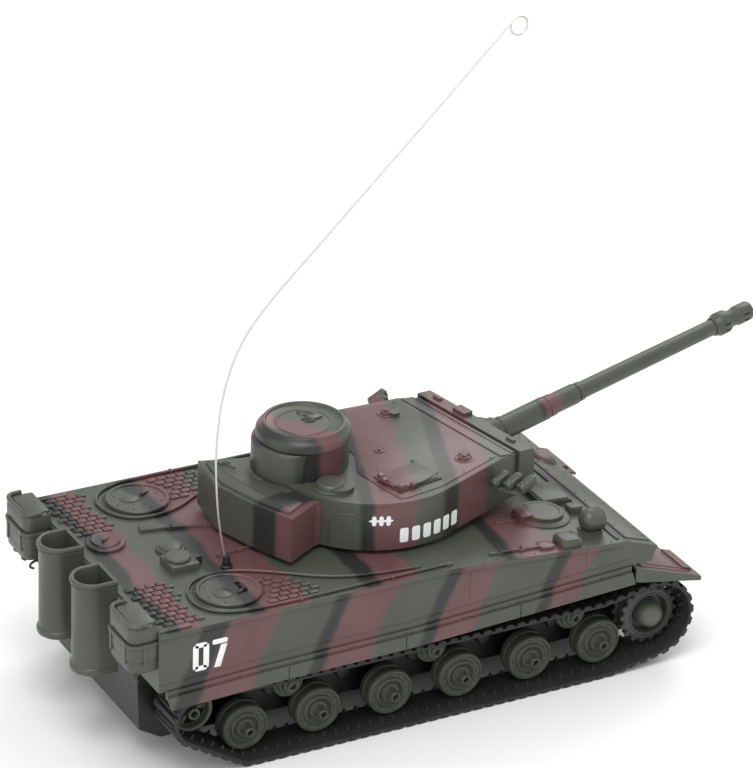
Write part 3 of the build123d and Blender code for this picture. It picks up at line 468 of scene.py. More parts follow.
def hull_camouflage(name):
    """The walls' bands lean forward; the decks have bands of their own, seen above the deck line,
    which drops with the slope in front."""
    shade = Shade(name)
    where = shade.place()
    wall = bands_ramp(shade, across_bands(shade, where, (1, 0, -0.45), (0, 0, 60), 1.3),
                      ((-103, -91, -67), (-40, -33, -10), (13, 20, 38), (69, 76, 89)), (-130, 150))
    deck = bands_ramp(shade, across_bands(shade, where, (1, 0, 0), (0, 0, 0), 2.2),
                      ((-114, -107, -97), (-76, -68, -47), (-20, -12, 4), (48, 55, 76),
                       (104, 110, 124)), (-140, 150))
    apart = shade.node("ShaderNodeSeparateXYZ", {}, {0: where})
    height = shade.node("ShaderNodeSeparateXYZ", {}, {0: where}, 2)
    drop = shade.node("ShaderNodeMath", {"operation": "MAXIMUM"},
                      {0: apart - (HULL_MIDDLE_X + 20.0), 1: 0.0}) * math.tan(SLOPE)
    on_deck = (height + drop).step(DECK - 0.5, DECK - 0.1)
    return painted(shade, where, shade.mix(on_deck, wall, deck))


def guard_camouflage(name):
    """Mudguards: brick red over the top, green down the outer flange."""
    shade = Shade(name)
    where = shade.place()
    across = shade.node("ShaderNodeSeparateXYZ", {}, {0: where}, 1)
    outward = shade.node("ShaderNodeMath", {"operation": "ABSOLUTE"}, {0: across})
    flange = (outward + (shade.noise(where, 0.2) - 0.5) * 1.2).step(65.2, 66.4)
    rose, green = tuple(paint().rose), tuple(paint().green)
    return painted(shade, where, shade.mix(flange, [*rose, 1], [*green, 1]))


def moulded(name, tint, rough=0.5, grain_scale=3.0, spread=0.25, bump=0.2, metallic=0.0):
    """Plain moulded or metal finish: a fine grain varies colour, gloss and height."""
    shade = Shade(name)
    where = shade.place()
    grain = shade.noise(where, grain_scale, 4.0, 0.6)
    cloud = shade.noise(where, grain_scale * 0.05, 3.0)
    base = shade.mix(grain * 0.5 + cloud * 0.5, [c * (1 - spread) for c in tint] + [1],
                     [min(1, c * (1 + spread)) for c in tint] + [1])
    return shade.surface(base, grain * 0.2 + (rough - 0.1), metallic, height=grain, bump=bump,
                         distance=0.0001)


def drawn_wire(name, tint):
    """Drawn steel: fine lines round the wire."""
    shade = Shade(name)
    where = shade.place()
    grain = shade.noise(where, 6.0, 5.0, 0.7)
    base = shade.mix(grain, [c * 0.8 for c in tint] + [1], [*tint, 1])
    return shade.surface(base, grain * 0.2 + 0.25, 0.85, height=grain, bump=0.15, distance=0.00005)


def finishes():
    """All materials by name, made once."""
    colours = paint()
    made = {
        "hull_paint": hull_camouflage("hull_paint"),
        "turret_paint": camouflage("turret_paint", TURRET.x - 0.58 * TURRET.y, TURRET.origin,
                                   ((-11, -4, 18), (33, 41, 58)), (-80, 100), 0.8),
        "cupola_paint": camouflage("cupola_paint", TURRET.x + 0.35 * TURRET.y, TURRET.origin,
                                   ((-43, -35, -24),), (-80, 40), 0.8),
        "bin_paint": camouflage("bin_paint", -TURRET.y, TURRET.origin, ((5, 17, 26),), (-60, 60),
                                0.3),
        "gun_paint": camouflage("gun_paint", GUN.z, GUN.origin, ((36, 38, 48),), (-20, 180), 0.3),
        "guard_paint": guard_camouflage("guard_paint"),
        "cap_green": moulded("cap_green", (0.085, 0.092, 0.072), 0.45, 2.4),
        "chassis_black": moulded("chassis_black", colours.chassis, 0.42, 2.0),
        "track_rubber": moulded("track_rubber", colours.rubber, 0.62, 3.0, 0.3, 0.3),
        "wheel_green": moulded("wheel_green", colours.wheel, 0.5, 2.4),
        "sprocket_grey": moulded("sprocket_grey", colours.sprocket, 0.5, 2.4),
        "stencil_white": moulded("stencil_white", colours.stencil, 0.55, 4.0, 0.06, 0.1),
        "wire_steel": drawn_wire("wire_steel", (0.72, 0.72, 0.70)),
        "pin_steel": drawn_wire("pin_steel", (0.13, 0.13, 0.125)),
        # Near-black for the muzzle brake's ports and bore: painted shade where the openings would look dark
        # inside
        "painted_shade_black": moulded("painted_shade_black", (0.010, 0.010, 0.010), 0.7, 3.0),
        "lens_grey": moulded("lens_grey", (0.30, 0.31, 0.29), 0.25, 1.0, 0.05, 0.02),
        "board_green": moulded("board_green", (0.010, 0.10, 0.03), 0.35, 2.0),
        "battery_wrap": moulded("battery_wrap", (0.02, 0.07, 0.20), 0.3, 1.0),
        "brass": moulded("brass", (0.60, 0.42, 0.16), 0.3, 3.0, 0.1, 0.1, 1.0),
        "motor_can": moulded("motor_can", (0.55, 0.55, 0.56), 0.3, 3.0, 0.1, 0.1, 1.0),
        "gearbox_white": moulded("gearbox_white", (0.55, 0.54, 0.50), 0.45, 2.0),
    }
    return made


NODE_FINISH = {
    "lower_hull": "chassis_black", "battery_door": "chassis_black", "switch_knob": "chassis_black",
    "axle_pins": "pin_steel", "hull_screws": "pin_steel", "antenna": "wire_steel",
    "drive_motors": "motor_can", "gearbox": "gearbox_white", "circuit_board": "board_green",
    "battery_pack": "battery_wrap", "turret_shell": "turret_paint", "turret_ring": "chassis_black",
    "cupola": "cupola_paint", "stowage_bin": "bin_paint", "smoke_launchers": "turret_paint",
    "mantlet": "turret_paint", "gun_barrel": "gun_paint", "muzzle_brake": "gun_paint",
}
PREFIX_FINISH = {
    "track_": "track_rubber", "sprocket_": "sprocket_grey", "idler_": "sprocket_grey",
    "road_wheel": "wheel_green", "return_roller": "wheel_green", "drive_shaft": "pin_steel",
    "motor_pinion": "brass", "fender_": "guard_paint",
}


class TANK_OT_finishes(bpy.types.Operator):
    """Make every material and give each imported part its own."""

    bl_idname = "tank.finishes"
    bl_label = "Finishes"

    def execute(self, context):
        made = finishes()
        for name, part in frame["nodes"].items():
            finish = NODE_FINISH.get(name)
            for prefix, other in PREFIX_FINISH.items():
                if name.startswith(prefix):
                    finish = other
            part.data.materials.clear()
            part.data.materials.append(made[finish or "hull_paint"])
        return {"FINISHED"}


def finish(name):
    return bpy.data.materials[name]


# ---- stage --------------------------------------------------------------------------------------


class TANK_OT_stage(bpy.types.Operator):
    """Floor, soft lights and the camera."""

    bl_idname = "tank.stage"
    bl_label = "Stage"

    def execute(self, context):
        scene = context.scene
        side = 6.0
        mesh = bpy.data.meshes.new("floor")
        mesh.from_pydata([(-side, -side, 0), (side, -side, 0), (side, side, 0), (-side, side, 0)],
                         [], [(0, 1, 2, 3)])
        floor = bpy.data.objects.new("floor", mesh)
        scene.collection.objects.link(floor)
        shade = Shade("floor_white")
        mesh.materials.append(shade.surface((0.86, 0.86, 0.86, 1), 0.9, Specular_IOR_Level=0.1))
        world = bpy.data.worlds.new("studio")
        scene.world = world
        world.use_nodes = True
        world.node_tree.nodes["Background"].inputs[0].default_value = (1.0, 1.0, 1.0, 1)
        world.node_tree.nodes["Background"].inputs[1].default_value = 0.75
        for name, spot, energy, size in (("key", (-0.5, -0.6, 1.7), 17, 1.0),
                                         ("fill", (-1.5, -0.9, 0.7), 6, 1.4),
                                         ("rim", (1.0, 0.9, 1.2), 9, 1.0)):
            light = bpy.data.lights.new(name, "AREA")
            light.energy, light.size = energy, size
            lamp = bpy.data.objects.new(name, light)
            lamp.location = spot
            aim = Vector((-0.05, 0, 0.05)) - Vector(spot)
            lamp.rotation_euler = aim.to_track_quat("-Z", "Y").to_euler()
            scene.collection.objects.link(lamp)
        right = Vector((0.8818, -0.4704, 0.0330))
        up = Vector((0.1818, 0.4037, 0.8967))
        back = right.cross(up).normalized()
        view = Matrix((right, up, back)).transposed().to_4x4()
        view.translation = Vector((-743.8 + HULL_MIDDLE_X, -1371.9, 904.8)) * MM
        lens = bpy.data.cameras.new("camera")
        lens.sensor_fit = "AUTO"
        lens.sensor_width = 36
        lens.lens = 190.4
        lens.clip_start = 0.01
        camera = bpy.data.objects.new("camera", lens)
        camera.matrix_world = view
        scene.collection.objects.link(camera)
        scene.camera = camera
        scene.view_settings.view_transform = "Standard"
        return {"FINISHED"}


# ---- tracks -------------------------------------------------------------------------------------


TRACK_MIDDLE = 54.85
BELT_CIRCLES = [(126.5, 23.8, 16.9), (102.9, 13.70, 11.10), (-71.2, 13.70, 11.10),
                (-96.7, 28.0, 10.1)]
BELT_TOP = 36.5
WHEEL_PLACES = [(-71.2 + 34.82 * i, 13.70) for i in range(6)]
ROLLER_PLACES = [(-49.4 + 69.64 * i, 28.9) for i in range(3)]


def tangent_points(first, second):
    """Where the outer common tangent of two circles (x, z, radius) touches each of them."""
    (xa, za, ra), (xb, zb, rb) = first, second
    span = math.hypot(xb - xa, zb - za)
    normal = math.atan2(zb - za, xb - xa) + math.pi / 2 - math.asin((ra - rb) / span)
    direction = np.array([math.cos(normal), math.sin(normal)])
    return np.array([xa, za]) + ra * direction, np.array([xb, zb]) + rb * direction


def clockwise_arc(circle, start, end, step=1.5):
    """Points on a circle from one point clockwise to another, in steps of about the given length."""
    x, z, r = circle
    a0 = math.atan2(start[1] - z, start[0] - x)
    a1 = math.atan2(end[1] - z, end[0] - x)
    a1 -= 2 * math.pi * math.ceil((a1 - a0) / (2 * math.pi))
    angle = np.linspace(a0, a1, max(2, int((a0 - a1) * r / step)))
    return np.column_stack([x + r * np.cos(angle), z + r * np.sin(angle)])


def belt_line(spread):
    """Closed line round the front, the end road wheels and the idler, joined by straight runs, a
    given distance outside the inner face of the belt."""
    front, last, first, idler = [(x, z, r + spread) for x, z, r in BELT_CIRCLES]
    front_top = (WHEEL_PLACES[-1][0] - 4, BELT_TOP + spread, 0)
    rear_top = (ROLLER_PLACES[0][0] - 7, BELT_TOP + spread, 0)
    down, low_front = tangent_points(front_top, front), tangent_points(front, last)
    bottom, low_rear = tangent_points(last, first), tangent_points(first, idler)
    up = tangent_points(idler, rear_top)
    return np.concatenate([clockwise_arc(front, down[1], low_front[0]),
                           clockwise_arc(last, low_front[1], bottom[0]),
                           clockwise_arc(first, bottom[1], low_rear[0]),
                           clockwise_arc(idler, low_rear[1], up[0]),
                           [up[1]], [down[0]]])


def walk(line, count):
    """A closed line at evenly spaced lengths, with its tangents."""
    closed = np.concatenate([line, line[:1]])
    length = np.concatenate([[0], np.cumsum(np.linalg.norm(np.diff(closed, axis=0), axis=1))])
    want = np.linspace(0, length[-1], count, endpoint=False)
    points = np.column_stack([np.interp(want, length, closed[:, k]) for k in (0, 1)])
    tangent = np.roll(points, -1, 0) - np.roll(points, 1, 0)
    return points, tangent / np.linalg.norm(tangent, axis=1)[:, None]


def frustum(low, high):
    """Two rectangles (along0, along1, across0, across1, out) joined into a block."""
    rings = [[(a0, b0, c), (a1, b0, c), (a1, b1, c), (a0, b1, c)] for a0, a1, b0, b1,
             c in (low, high)]
    return skin(rings)


def on_belt(solid, points, tangent, side):
    """A link's solid, in (along, across, out), set at every point of the belt line."""
    vertices, faces = solid
    normal = np.column_stack([-tangent[:, 1], tangent[:, 0]])
    flat = points[:, None] + vertices[None, :, :1] * tangent[:,
                                                             None] + vertices[None, :, 2:] * normal[:, None]
    across = np.broadcast_to(side * (TRACK_MIDDLE + vertices[None, :, 1]), flat.shape[:2])
    placed = np.stack([flat[..., 0], across, flat[..., 1]], -1)
    shift = np.arange(len(points))[:, None] * len(vertices)
    quads = [face if side > 0 else face[::-1] for face in faces]
    everywhere = [[i + int(s) for i in face] for s in shift[:, 0] for face in quads]
    return placed.reshape(-1, 3), everywhere


def track_solid(side):
    """Belt: a flat section carried round the line.  On it one cleat a link, its end lugs and the
    guide teeth inside, all stamped along the line."""
    inner = belt_line(0.0)
    pitch = sizes().link_pitch
    length = np.linalg.norm(np.diff(np.concatenate([inner, inner[:1]]), axis=0), axis=1).sum()
    count = round(length / pitch)
    points, tangent = walk(inner, count * 4)
    half = 10.2
    section = rounded([(-half, 0.12), (half, 0.12), (half, 1.35), (-half, 1.35)], 0.35, 2)
    normal = np.column_stack([-tangent[:, 1], tangent[:, 0]])
    flat = points[:, None] + section[None, :, 1:] * normal[:, None]
    across = np.broadcast_to(side * (TRACK_MIDDLE + section[None, :, 0]), flat.shape[:2])
    belt = skin(np.stack([flat[..., 0], across, flat[..., 1]], -1), wrap_u=True)
    link = join(frustum((-1.8, 1.6, -half, half, 1.2),
                        (-1.15, 0.95, -half + 0.3, half - 0.3, 2.56)),
                frustum((-2.3, 2.1, 7.9, half + 0.12, 0.8), (-1.7, 1.5, 8.2, half - 0.1, 2.3)),
                frustum((-2.3, 2.1, -half - 0.12, -7.9, 0.8), (-1.7, 1.5, -half + 0.1, -8.2, 2.3)),
                frustum((2.1, 3.5, -7.0, 7.0, 1.2), (2.4, 3.2, -6.6, 6.6, 1.75)),
                frustum((-0.9, 0.9, 3.1, 4.6, 0.3), (-0.35, 0.35, 3.45, 4.25, -1.7)),
                frustum((-0.9, 0.9, -9.9, -8.6, 0.3), (-0.35, 0.35, -9.6, -8.9, -1.7)))
    return join(belt, on_belt(link, *walk(inner, count), side))


class TANK_OT_tracks(bpy.types.Operator):
    """Rubber tracks with cleats, end lugs and guide teeth."""

    bl_idname = "tank.tracks"
    bl_label = "Tracks"

    def execute(self, context):
        for name, side in SIDES.items():
            piece(f"track_{name}_links", track_solid(side), finish("track_rubber"), "hull",
                  f"track_{name}",
                  30)
        return {"FINISHED"}


# ---- running gear: everything here turns about a crosswise axle ---------------------------------


def axle(x, z, side, reach=0.0):
    """The place of an axle: own z runs outwards from the middle of the tank, own x forward."""
    return Place((x, side * reach, z), (1, 0, 0), (0, side, 0))


def ring_of(count, radius, start=0.0):
    """Places evenly round a circle as (a, b) pairs."""
    angle = start + np.arange(count) * 2 * math.pi / count
    return np.column_stack([radius * np.cos(angle), radius * np.sin(angle)])


def wheel_solid(place):
    """Road wheel: one turned section from bore to tyre, with bolts on its dish."""
    section = [(1.06, 46.8), (4.0, 46.8), (4.2, 48.2), (9.0, 48.2), (9.4, 47.2), (10.2, 47.2),
               (10.73, 47.8), (10.73, 50.5),
               (9.7, 50.8), (9.7, 51.6), (10.73, 51.9), (10.73, 55.2), (10.2, 56.1), (9.5, 56.2),
               (9.2, 55.5), (8.7, 55.2),
               (7.2, 55.0), (6.9, 55.8), (6.5, 56.2), (5.9, 56.2), (5.6, 55.4), (4.7, 54.6),
               (4.3, 54.9), (4.0, 55.8),
               (3.4, 55.9), (2.9, 55.9), (2.3, 57.6), (2.3, 60.3), (1.95, 60.8), (1.5, 60.8),
               (1.5, 57.5), (1.06, 57.4)]
    body = turned(rounded(section, 0.16, 2), place, 56, closed=True)
    bolts = rivets([(a, b, 55.12) for a, b in ring_of(sizes().wheel_bolts, 8.1)], 0.42, 0.35, place)
    inner = rivets([(a, b, 55.0) for a, b in ring_of(6, 5.05, 0.3)], 0.3, 0.25, place)
    return join(body, bolts, inner)


class TANK_OT_road_wheels(bpy.types.Operator):
    """Dished road wheels with bolt rings and hollow hub noses."""

    bl_idname = "tank.road_wheels"
    bl_label = "Road wheels"

    def execute(self, context):
        for name, side in SIDES.items():
            for i, (x, z) in enumerate(WHEEL_PLACES):
                label = f"{name}_{i + 1}"
                piece(f"wheel_disc_{label}", wheel_solid(axle(x, z, side)), finish("wheel_green"),
                      f"wheel_{label}",
                      f"road_wheel_{label}", 32)
        return {"FINISHED"}


class TANK_OT_return_rollers(bpy.types.Operator):
    """Stepped return rollers above the road wheels."""

    bl_idname = "tank.return_rollers"
    bl_label = "Return rollers"

    def execute(self, context):
        section = [(1.06, 47.0), (3.0, 47.0), (3.0, 48.6), (6.6, 48.6), (7.2, 49.1), (7.2, 51.9),
                   (6.7, 52.4), (6.3, 52.4),
                   (6.1, 52.0), (5.5, 52.0), (5.3, 53.7), (4.9, 53.9), (4.6, 53.9), (4.4, 53.3),
                   (3.9, 53.3), (3.6, 55.4),
                   (3.1, 55.6), (2.6, 55.6), (2.4, 56.6), (2.1, 56.8), (1.5, 56.8), (1.5, 54.6),
                   (1.06, 54.5)]
        for name, side in SIDES.items():
            for i, (x, z) in enumerate(ROLLER_PLACES):
                label = f"{name}_{i + 1}"
                solid = turned(rounded(section, 0.14, 2), axle(x, z, side), 48, closed=True)
                piece(f"roller_disc_{label}", solid, finish("wheel_green"), f"roller_{label}",
                      f"return_roller_{label}",
                      32)
        return {"FINISHED"}


def sprocket_solid(place, teeth=18):
    """Drive sprocket: a turned section whose tooth rows swell with the angle.
    Radius = r + w * tooth(angle), where tooth is a wave cut off flat at 0 and 1."""
    per_tooth = 12
    angle = np.linspace(0, 2 * math.pi, teeth * per_tooth, endpoint=False)
    tooth = np.clip(0.5 + 0.95 * np.cos(teeth * angle), 0, 1)
    section = np.array([(1.56, 47.0, 0), (5.0, 47.0, 0), (5.0, 49.0, 0), (10.8, 49.0, 0),
                        (10.9, 47.7, 0), (12.6, 47.7, 0),
                        (12.9, 47.9, 1.5), (12.9, 49.1, 1.5), (12.4, 49.4, 0), (12.4, 54.5, 0),
                        (12.9, 54.8, 1.5),
                        (12.9, 56.1, 1.5), (12.6, 56.4, 1.2), (12.1, 56.9, 0), (11.6, 57.2, 0),
                        (10.9, 57.2, 0),
                        (10.6, 56.6, 0), (10.2, 56.6, 0), (10.0, 57.0, 0), (9.5, 57.0, 0),
                        (9.2, 55.9, 0), (8.6, 52.6, 0),
                        (6.6, 52.6, 0), (6.4, 54.0, 0), (1.56, 54.0, 0)])
    radius = section[:, :1] + section[:, 2:] * tooth[None]
    rings = np.stack([radius * np.cos(angle), radius * np.sin(angle),
                      np.repeat(section[:, 1:2], len(angle), 1)], -1)
    vertices, faces = skin(rings, wrap_u=True)
    return place.put(vertices), faces


class TANK_OT_sprockets(bpy.types.Operator):
    """Toothed drive sprockets, each with a domed hub cap."""

    bl_idname = "tank.sprockets"
    bl_label = "Sprockets"

    def execute(self, context):
        cap = [(5.7, 54.0), (6.0, 54.2), (6.0, 57.4), (5.7, 58.7), (5.0, 60.0), (3.8, 61.1),
               (2.4, 61.8), (1.0, 62.0),
               (0.2, 62.0)]
        for name, side in SIDES.items():
            place = axle(127.8, 22.6, side)
            bolts = rivets([(a, b, 55.4) for a, b in ring_of(9, 9.0)], 0.35, 0.3, place)
            piece(f"sprocket_{name}_rings", join(sprocket_solid(place), bolts),
                  finish("sprocket_grey"),
                  f"drive_{name}", f"sprocket_{name}", 32)
            piece(f"hub_cap_{name}", turned(cap, place, 48), finish("cap_green"), f"drive_{name}",
                  None, 50)
        return {"FINISHED"}


class TANK_OT_idlers(bpy.types.Operator):
    """Open idler wheels: rim, hub tube and six spokes."""

    bl_idname = "tank.idlers"
    bl_label = "Idlers"

    def execute(self, context):
        rim = [(7.4, 47.7), (9.3, 47.7), (9.7, 48.1), (9.7, 55.7), (9.2, 56.2), (8.1, 56.2),
               (7.8, 55.8), (7.4, 53.6),
               (7.0, 53.3), (7.0, 50.9)]
        hub = [(1.06, 47.1), (3.3, 47.1), (3.4, 50.6), (3.6, 50.8), (3.6, 53.4), (3.2, 53.8),
               (2.8, 58.1), (2.4, 58.5),
               (1.6, 58.5), (1.5, 54.5), (1.06, 54.4)]
        for name, side in SIDES.items():
            place = axle(-96.7, 28.0, side)
            spokes = scatter(brick((4.4, 1.9, 2.6), HULL, 0.3, 0.4),
                             [place.at(0, 0, 50.8, k * math.pi / 3).at(5.3, 0)
                                                                      for k in range(6)])
            solid = join(turned(rounded(rim, 0.2, 2), place, 56, closed=True),
                         turned(rounded(hub, 0.2, 2), place, 36, closed=True), spokes)
            piece(f"idler_{name}_wheel", solid, finish("wheel_green"), f"idler_{name}",
                  f"idler_{name}", 32)
        return {"FINISHED"}


# ---- hull fittings ------------------------------------------------------------------------------


FAN = (-75.0, 45.0)
CABLE_ROUTE = [(22.0, -62.6), (-28.0, -62.9), (-66.0, -63.6), (-84.0, -61.4), (-93.2, -52.0),
               (-92.0, -38.0),
               (-83.0, -28.6), (-66.0, -28.6), (-50.0, -38.2), (-30.9, -52.2), (-12.0, -57.6),
               (8.3, -59.6)]
SLOPE = math.atan2(6.5, 87.7)
FRONT_DECK = Place((20.0, 0, DECK), (math.cos(SLOPE), 0, -math.sin(SLOPE)),
                   (math.sin(SLOPE), 0, math.cos(SLOPE)))
ROOF_DECK = Place((0, 0, DECK))


def polyline_gap(points, route):
    """Distance of each point from a line of straight runs."""
    route = np.asarray(route, float)
    start, run = route[:-1], np.diff(route, axis=0)
    away = points[:, None] - start[None]
    share = np.clip((away * run).sum(-1) / (run * run).sum(-1), 0, 1)
    return np.linalg.norm(away - share[..., None] * run, axis=-1).min(1)


def grille_places(side):
    """Centres of staggered bricks behind and in front of a fan cover, clear of it and of the cable."""
    length, width, gap = sizes().brick_length, 2.9, 0.75
    rows = np.arange(26.5, 64.0, width + gap)
    centres = []
    for start, end, low, high in ((-114.2, -93.0, 25.0, 64.0), (-66.0, -36.0, 31.0, 61.0)):
        for number, y in enumerate(rows):
            x = np.arange(start + length / 2 + (number % 2) * (length + gap) / 2, end - length / 2,
                          length + gap)
            if low < y < high:
                centres.append(np.column_stack([x, np.full(len(x), -y)]))
    centres = np.concatenate(centres)
    fan_gap = np.linalg.norm(centres - [FAN[0], -FAN[1]], axis=1)
    behind = centres[:, 0] < -90
    route_gap = polyline_gap(centres, CABLE_ROUTE)
    inside = polyline_gap(centres, [(-66, -30), (-40, -62)]) < 60
    free = (fan_gap > 14.0 + length * 0.55) & (route_gap > length * 0.5 + 1.2) & inside
    enclosed = behind | (np.interp(centres[:, 0], [-66, -50, -30.9],
                                   [28.6, 38.2, 52.2]) < -centres[:, 1])
    under_turret = np.hypot(centres[:, 0] - TURRET_AXIS_X, centres[:, 1]) < 48
    kept = centres[free & enclosed & ~under_turret & (centres[:, 1] > -61.5)]
    return [ROOF_DECK.at(x, -side * y) for x, y in kept]


class TANK_OT_deck_grilles(bpy.types.Operator):
    """Brick-patterned cooling grilles on the engine deck."""

    bl_idname = "tank.deck_grilles"
    bl_label = "Deck grilles"

    def execute(self, context):
        bricks = [brick((sizes().brick_length, 2.9, 0.75), place, 0.22,
                        0.4) for side in SIDES.values()
                  for place in grille_places(side)]
        piece("deck_grilles", join(*bricks), finish("hull_paint"), "hull")
        return {"FINISHED"}


class TANK_OT_fan_covers(bpy.types.Operator):
    """Raised rings and bolts on the two round fan covers."""

    bl_idname = "tank.fan_covers"
    bl_label = "Fan covers"

    def execute(self, context):
        solids = []
        for side in SIDES.values():
            place = ROOF_DECK.at(FAN[0], side * FAN[1])
            ring = [(12.2, 1.2), (13.9, 1.2), (14.0, 1.5), (13.6, 1.95), (12.7, 1.95), (12.2, 1.6)]
            solids.append(turned(ring, place, 64, closed=True))
            solids.append(turned([(15.0, -0.1), (15.5, 0.2), (15.0, 0.55), (14.5, 0.2)], place, 64,
                                 closed=True))
            solids.append(turned([(4.2, 1.2), (4.2, 1.55), (3.9, 1.75), (0.3, 1.8)],
                                 place.at(-3.5, side * 1.5), 32))
            solids.append(rivets([(a, b, 1.3) for a, b in ring_of(8, 10.4, 0.2)], 0.55, 0.4, place))
            solids.append(brick((5.0, 1.6, 1.1), place.at(4.6, side * 3.0, 1.25, 0.5), 0.3, 0.5))
        piece("fan_cover_rings", join(*solids), finish("hull_paint"), "hull")
        return {"FINISHED"}


def nurbs_line(route, steps=10, closed=False):
    """The smooth line of a NURBS spline of order 3 whose control points are the route."""
    curve = bpy.data.curves.new("route", "CURVE")
    curve.dimensions = "3D"
    curve.resolution_u = steps
    spline = curve.splines.new("NURBS")
    spline.points.add(len(route) - 1)
    spline.points.foreach_set("co",
                              np.column_stack([route,
                                               np.ones(len(route))]).astype(np.float32).ravel())
    spline.order_u = 3
    spline.use_cyclic_u = closed
    spline.use_endpoint_u = not closed
    holder = bpy.data.objects.new("route", curve)
    mesh = bpy.data.meshes.new_from_object(holder)
    points = np.empty(len(mesh.vertices) * 3, np.float32)
    mesh.vertices.foreach_get("co", points)
    bpy.data.objects.remove(holder)
    bpy.data.curves.remove(curve)
    bpy.data.meshes.remove(mesh)
    return points.reshape(-1, 3).astype(float)


def stepped(line, step):
    """An open line at even lengths of about one step."""
    length = np.concatenate([[0], np.cumsum(np.linalg.norm(np.diff(line, axis=0), axis=1))])
    want = np.linspace(0, length[-1], max(2, round(length[-1] / step)))
    return np.column_stack([np.interp(want, length, line[:, k]) for k in range(3)])


class TANK_OT_tow_cables(bpy.types.Operator):
    """Twisted tow cables round the fan covers, each with its end eyes and clips."""

    bl_idname = "tank.tow_cables"
    bl_label = "Tow cables"

    def execute(self, context):
        solids = []
        for side in SIDES.values():
            route = np.array([(x, -side * y, DECK + 0.78) for x, y in CABLE_ROUTE])
            line = stepped(nurbs_line(route), 0.7)
            solids.append(tube(line, 0.72, 12, lobes=3, twist=1.3, depth=0.10))
            for end, heading in ((route[0], 0.0), (route[-1], 0.1)):
                solids.append(brick((3.2, 2.2, 1.5),
                                    Place(end - [0, 0, 0.78]).at(-1.4, 0, 0, heading), 0.4, 0.7))
            for share in (0.12, 0.30, 0.74, 0.9):
                spot = line[int(share * (len(line) - 1))]
                ahead = line[int(share * (len(line) - 1)) + 1] - spot
                clip = Place((spot[0], spot[1], DECK), ahead)
                solids.append(brick((1.3, 2.6, 1.55), clip, 0.3, 0.35))
        piece("tow_cable_strands", join(*solids), finish("hull_paint"), "hull", "tow_cable")
        return {"FINISHED"}


def shroud_ring(radius, height, middle_y, back, count=40):
    """Plan of an exhaust shroud at a height: a half circle behind, straight sides to the hull."""
    angle = np.linspace(-math.pi / 2, math.pi / 2, count)
    round_x = -125.0 - radius * np.cos(angle)
    round_y = middle_y + radius * np.sin(angle)
    x = np.concatenate([[back], round_x, [back]])
    y = np.concatenate([[round_y[0]], round_y, [round_y[-1]]])
    return np.column_stack([x, y, np.full(len(x), height)])


class TANK_OT_exhausts(bpy.types.Operator):
    """Tall exhaust shrouds with rolled lips, a foot flange and a pipe inside."""

    bl_idname = "tank.exhausts"
    bl_label = "Exhausts"

    def execute(self, context):
        wall = [(8.9, 36.5), (9.3, 36.8), (9.5, 37.4), (9.5, 38.9), (9.2, 39.5), (8.75, 39.8),
                (8.6, 40.4), (8.6, 76.4),
                (8.75, 76.8), (9.0, 77.0), (9.0, 77.5), (8.8, 77.8), (8.95, 78.2), (9.4, 78.5),
                (9.5, 79.1), (9.4, 79.8),
                (9.0, 80.25), (8.3, 80.3), (7.7, 80.1), (7.4, 79.5), (7.4, 39.6)]
        pipe = [(3.6, 39.5), (3.6, 65.6), (3.3, 66.2), (2.9, 66.3), (2.6, 65.8), (2.6, 42.0)]
        for name, side in SIDES.items():
            middle = side * 17.0
            back = [-117.1 if number < 17 else -118.6 for number in range(len(wall))]
            rings = [shroud_ring(radius, height, middle, x) for (radius, height),
                     x in zip(wall, back)]
            pipe_solid = turned(pipe, Place((-125.0, middle, 0)), 32)
            solid = join(skin(rings), pipe_solid)
            piece(f"exhaust_{name}_shroud", solid, finish("hull_paint"), "hull", f"exhaust_{name}",
                  smooth=40)
        return {"FINISHED"}


def filter_solid(side):
    """An air filter: tiers over a plan with rounded rear corners, with straps and hooks."""
    def plan(inset, rear):
        a, b = -130.2 + inset, -117.15
        low, high = 41.0 + inset, 65.6 - inset
        corners = [(b, low), (b, high), (a, high), (a, low)]
        soft = rounded(corners, rear, 6)
        soft[:, 0] = np.where(soft[:, 0] > b - 2.5, b, soft[:, 0])
        return np.column_stack([soft[:, 0], side * soft[:, 1]])
    tiers = [slab(plan(1.1, 4.5), 58.0, 63.4, 0.3), slab(plan(0.5, 5.0), 63.0, 69.9, 0.8),
             slab(plan(0.0, 5.2), 69.6, 71.2, 0.5),
             slab(plan(0.7, 4.6), 71.0, 79.2, 1.8), slab(plan(2.9, 3.6), 78.6, 79.9, 0.5)]
    lip = plan(1.3, 4.6)
    rear = lip[lip[:, 0] < -121.0]
    rear = rear[np.argsort(side * rear[:, 1])]
    rim = tube(np.column_stack([rear, np.full(len(rear), 79.9)]), 1.05, 10)
    parts = tiers + [rim]
    for y in (46.5, 60.0):
        strap = Place((-130.1, side * y, 0), (0, 0, 1), (-1, 0, 0))
        parts.append(brick((10.0, 1.6, 0.55), strap.at(66.5, 0, -0.5), 0.15, 0.3))
        parts.append(brick((2.2, 2.6, 0.5), strap.at(70.4, 0, -0.35), 0.15, 0.4))
    side_strap = Place((0, side * 65.5, 0), (0, 0, 1), (0, side, 0))
    parts.append(brick((10.0, 1.6, 0.5), side_strap.at(66.5, -side * 123.0, -0.45), 0.15, 0.3))
    for y in (44.5, 53.0, 61.5):
        hook = np.array([(-118.4, side * y, 56.5), (-122.5, side * y, 56.6),
                         (-126.0, side * y, 55.4), (-126.4, side * y, 53.4),
                         (-124.4, side * y, 52.6)])
        parts.append(tube(nurbs_line(hook, 5), 0.55, 8))
        parts.append(brick((4.2, 2.2, 1.2), Place((-119.5, side * y, 56.8)), 0.2, 0.3))
    return join(*parts)


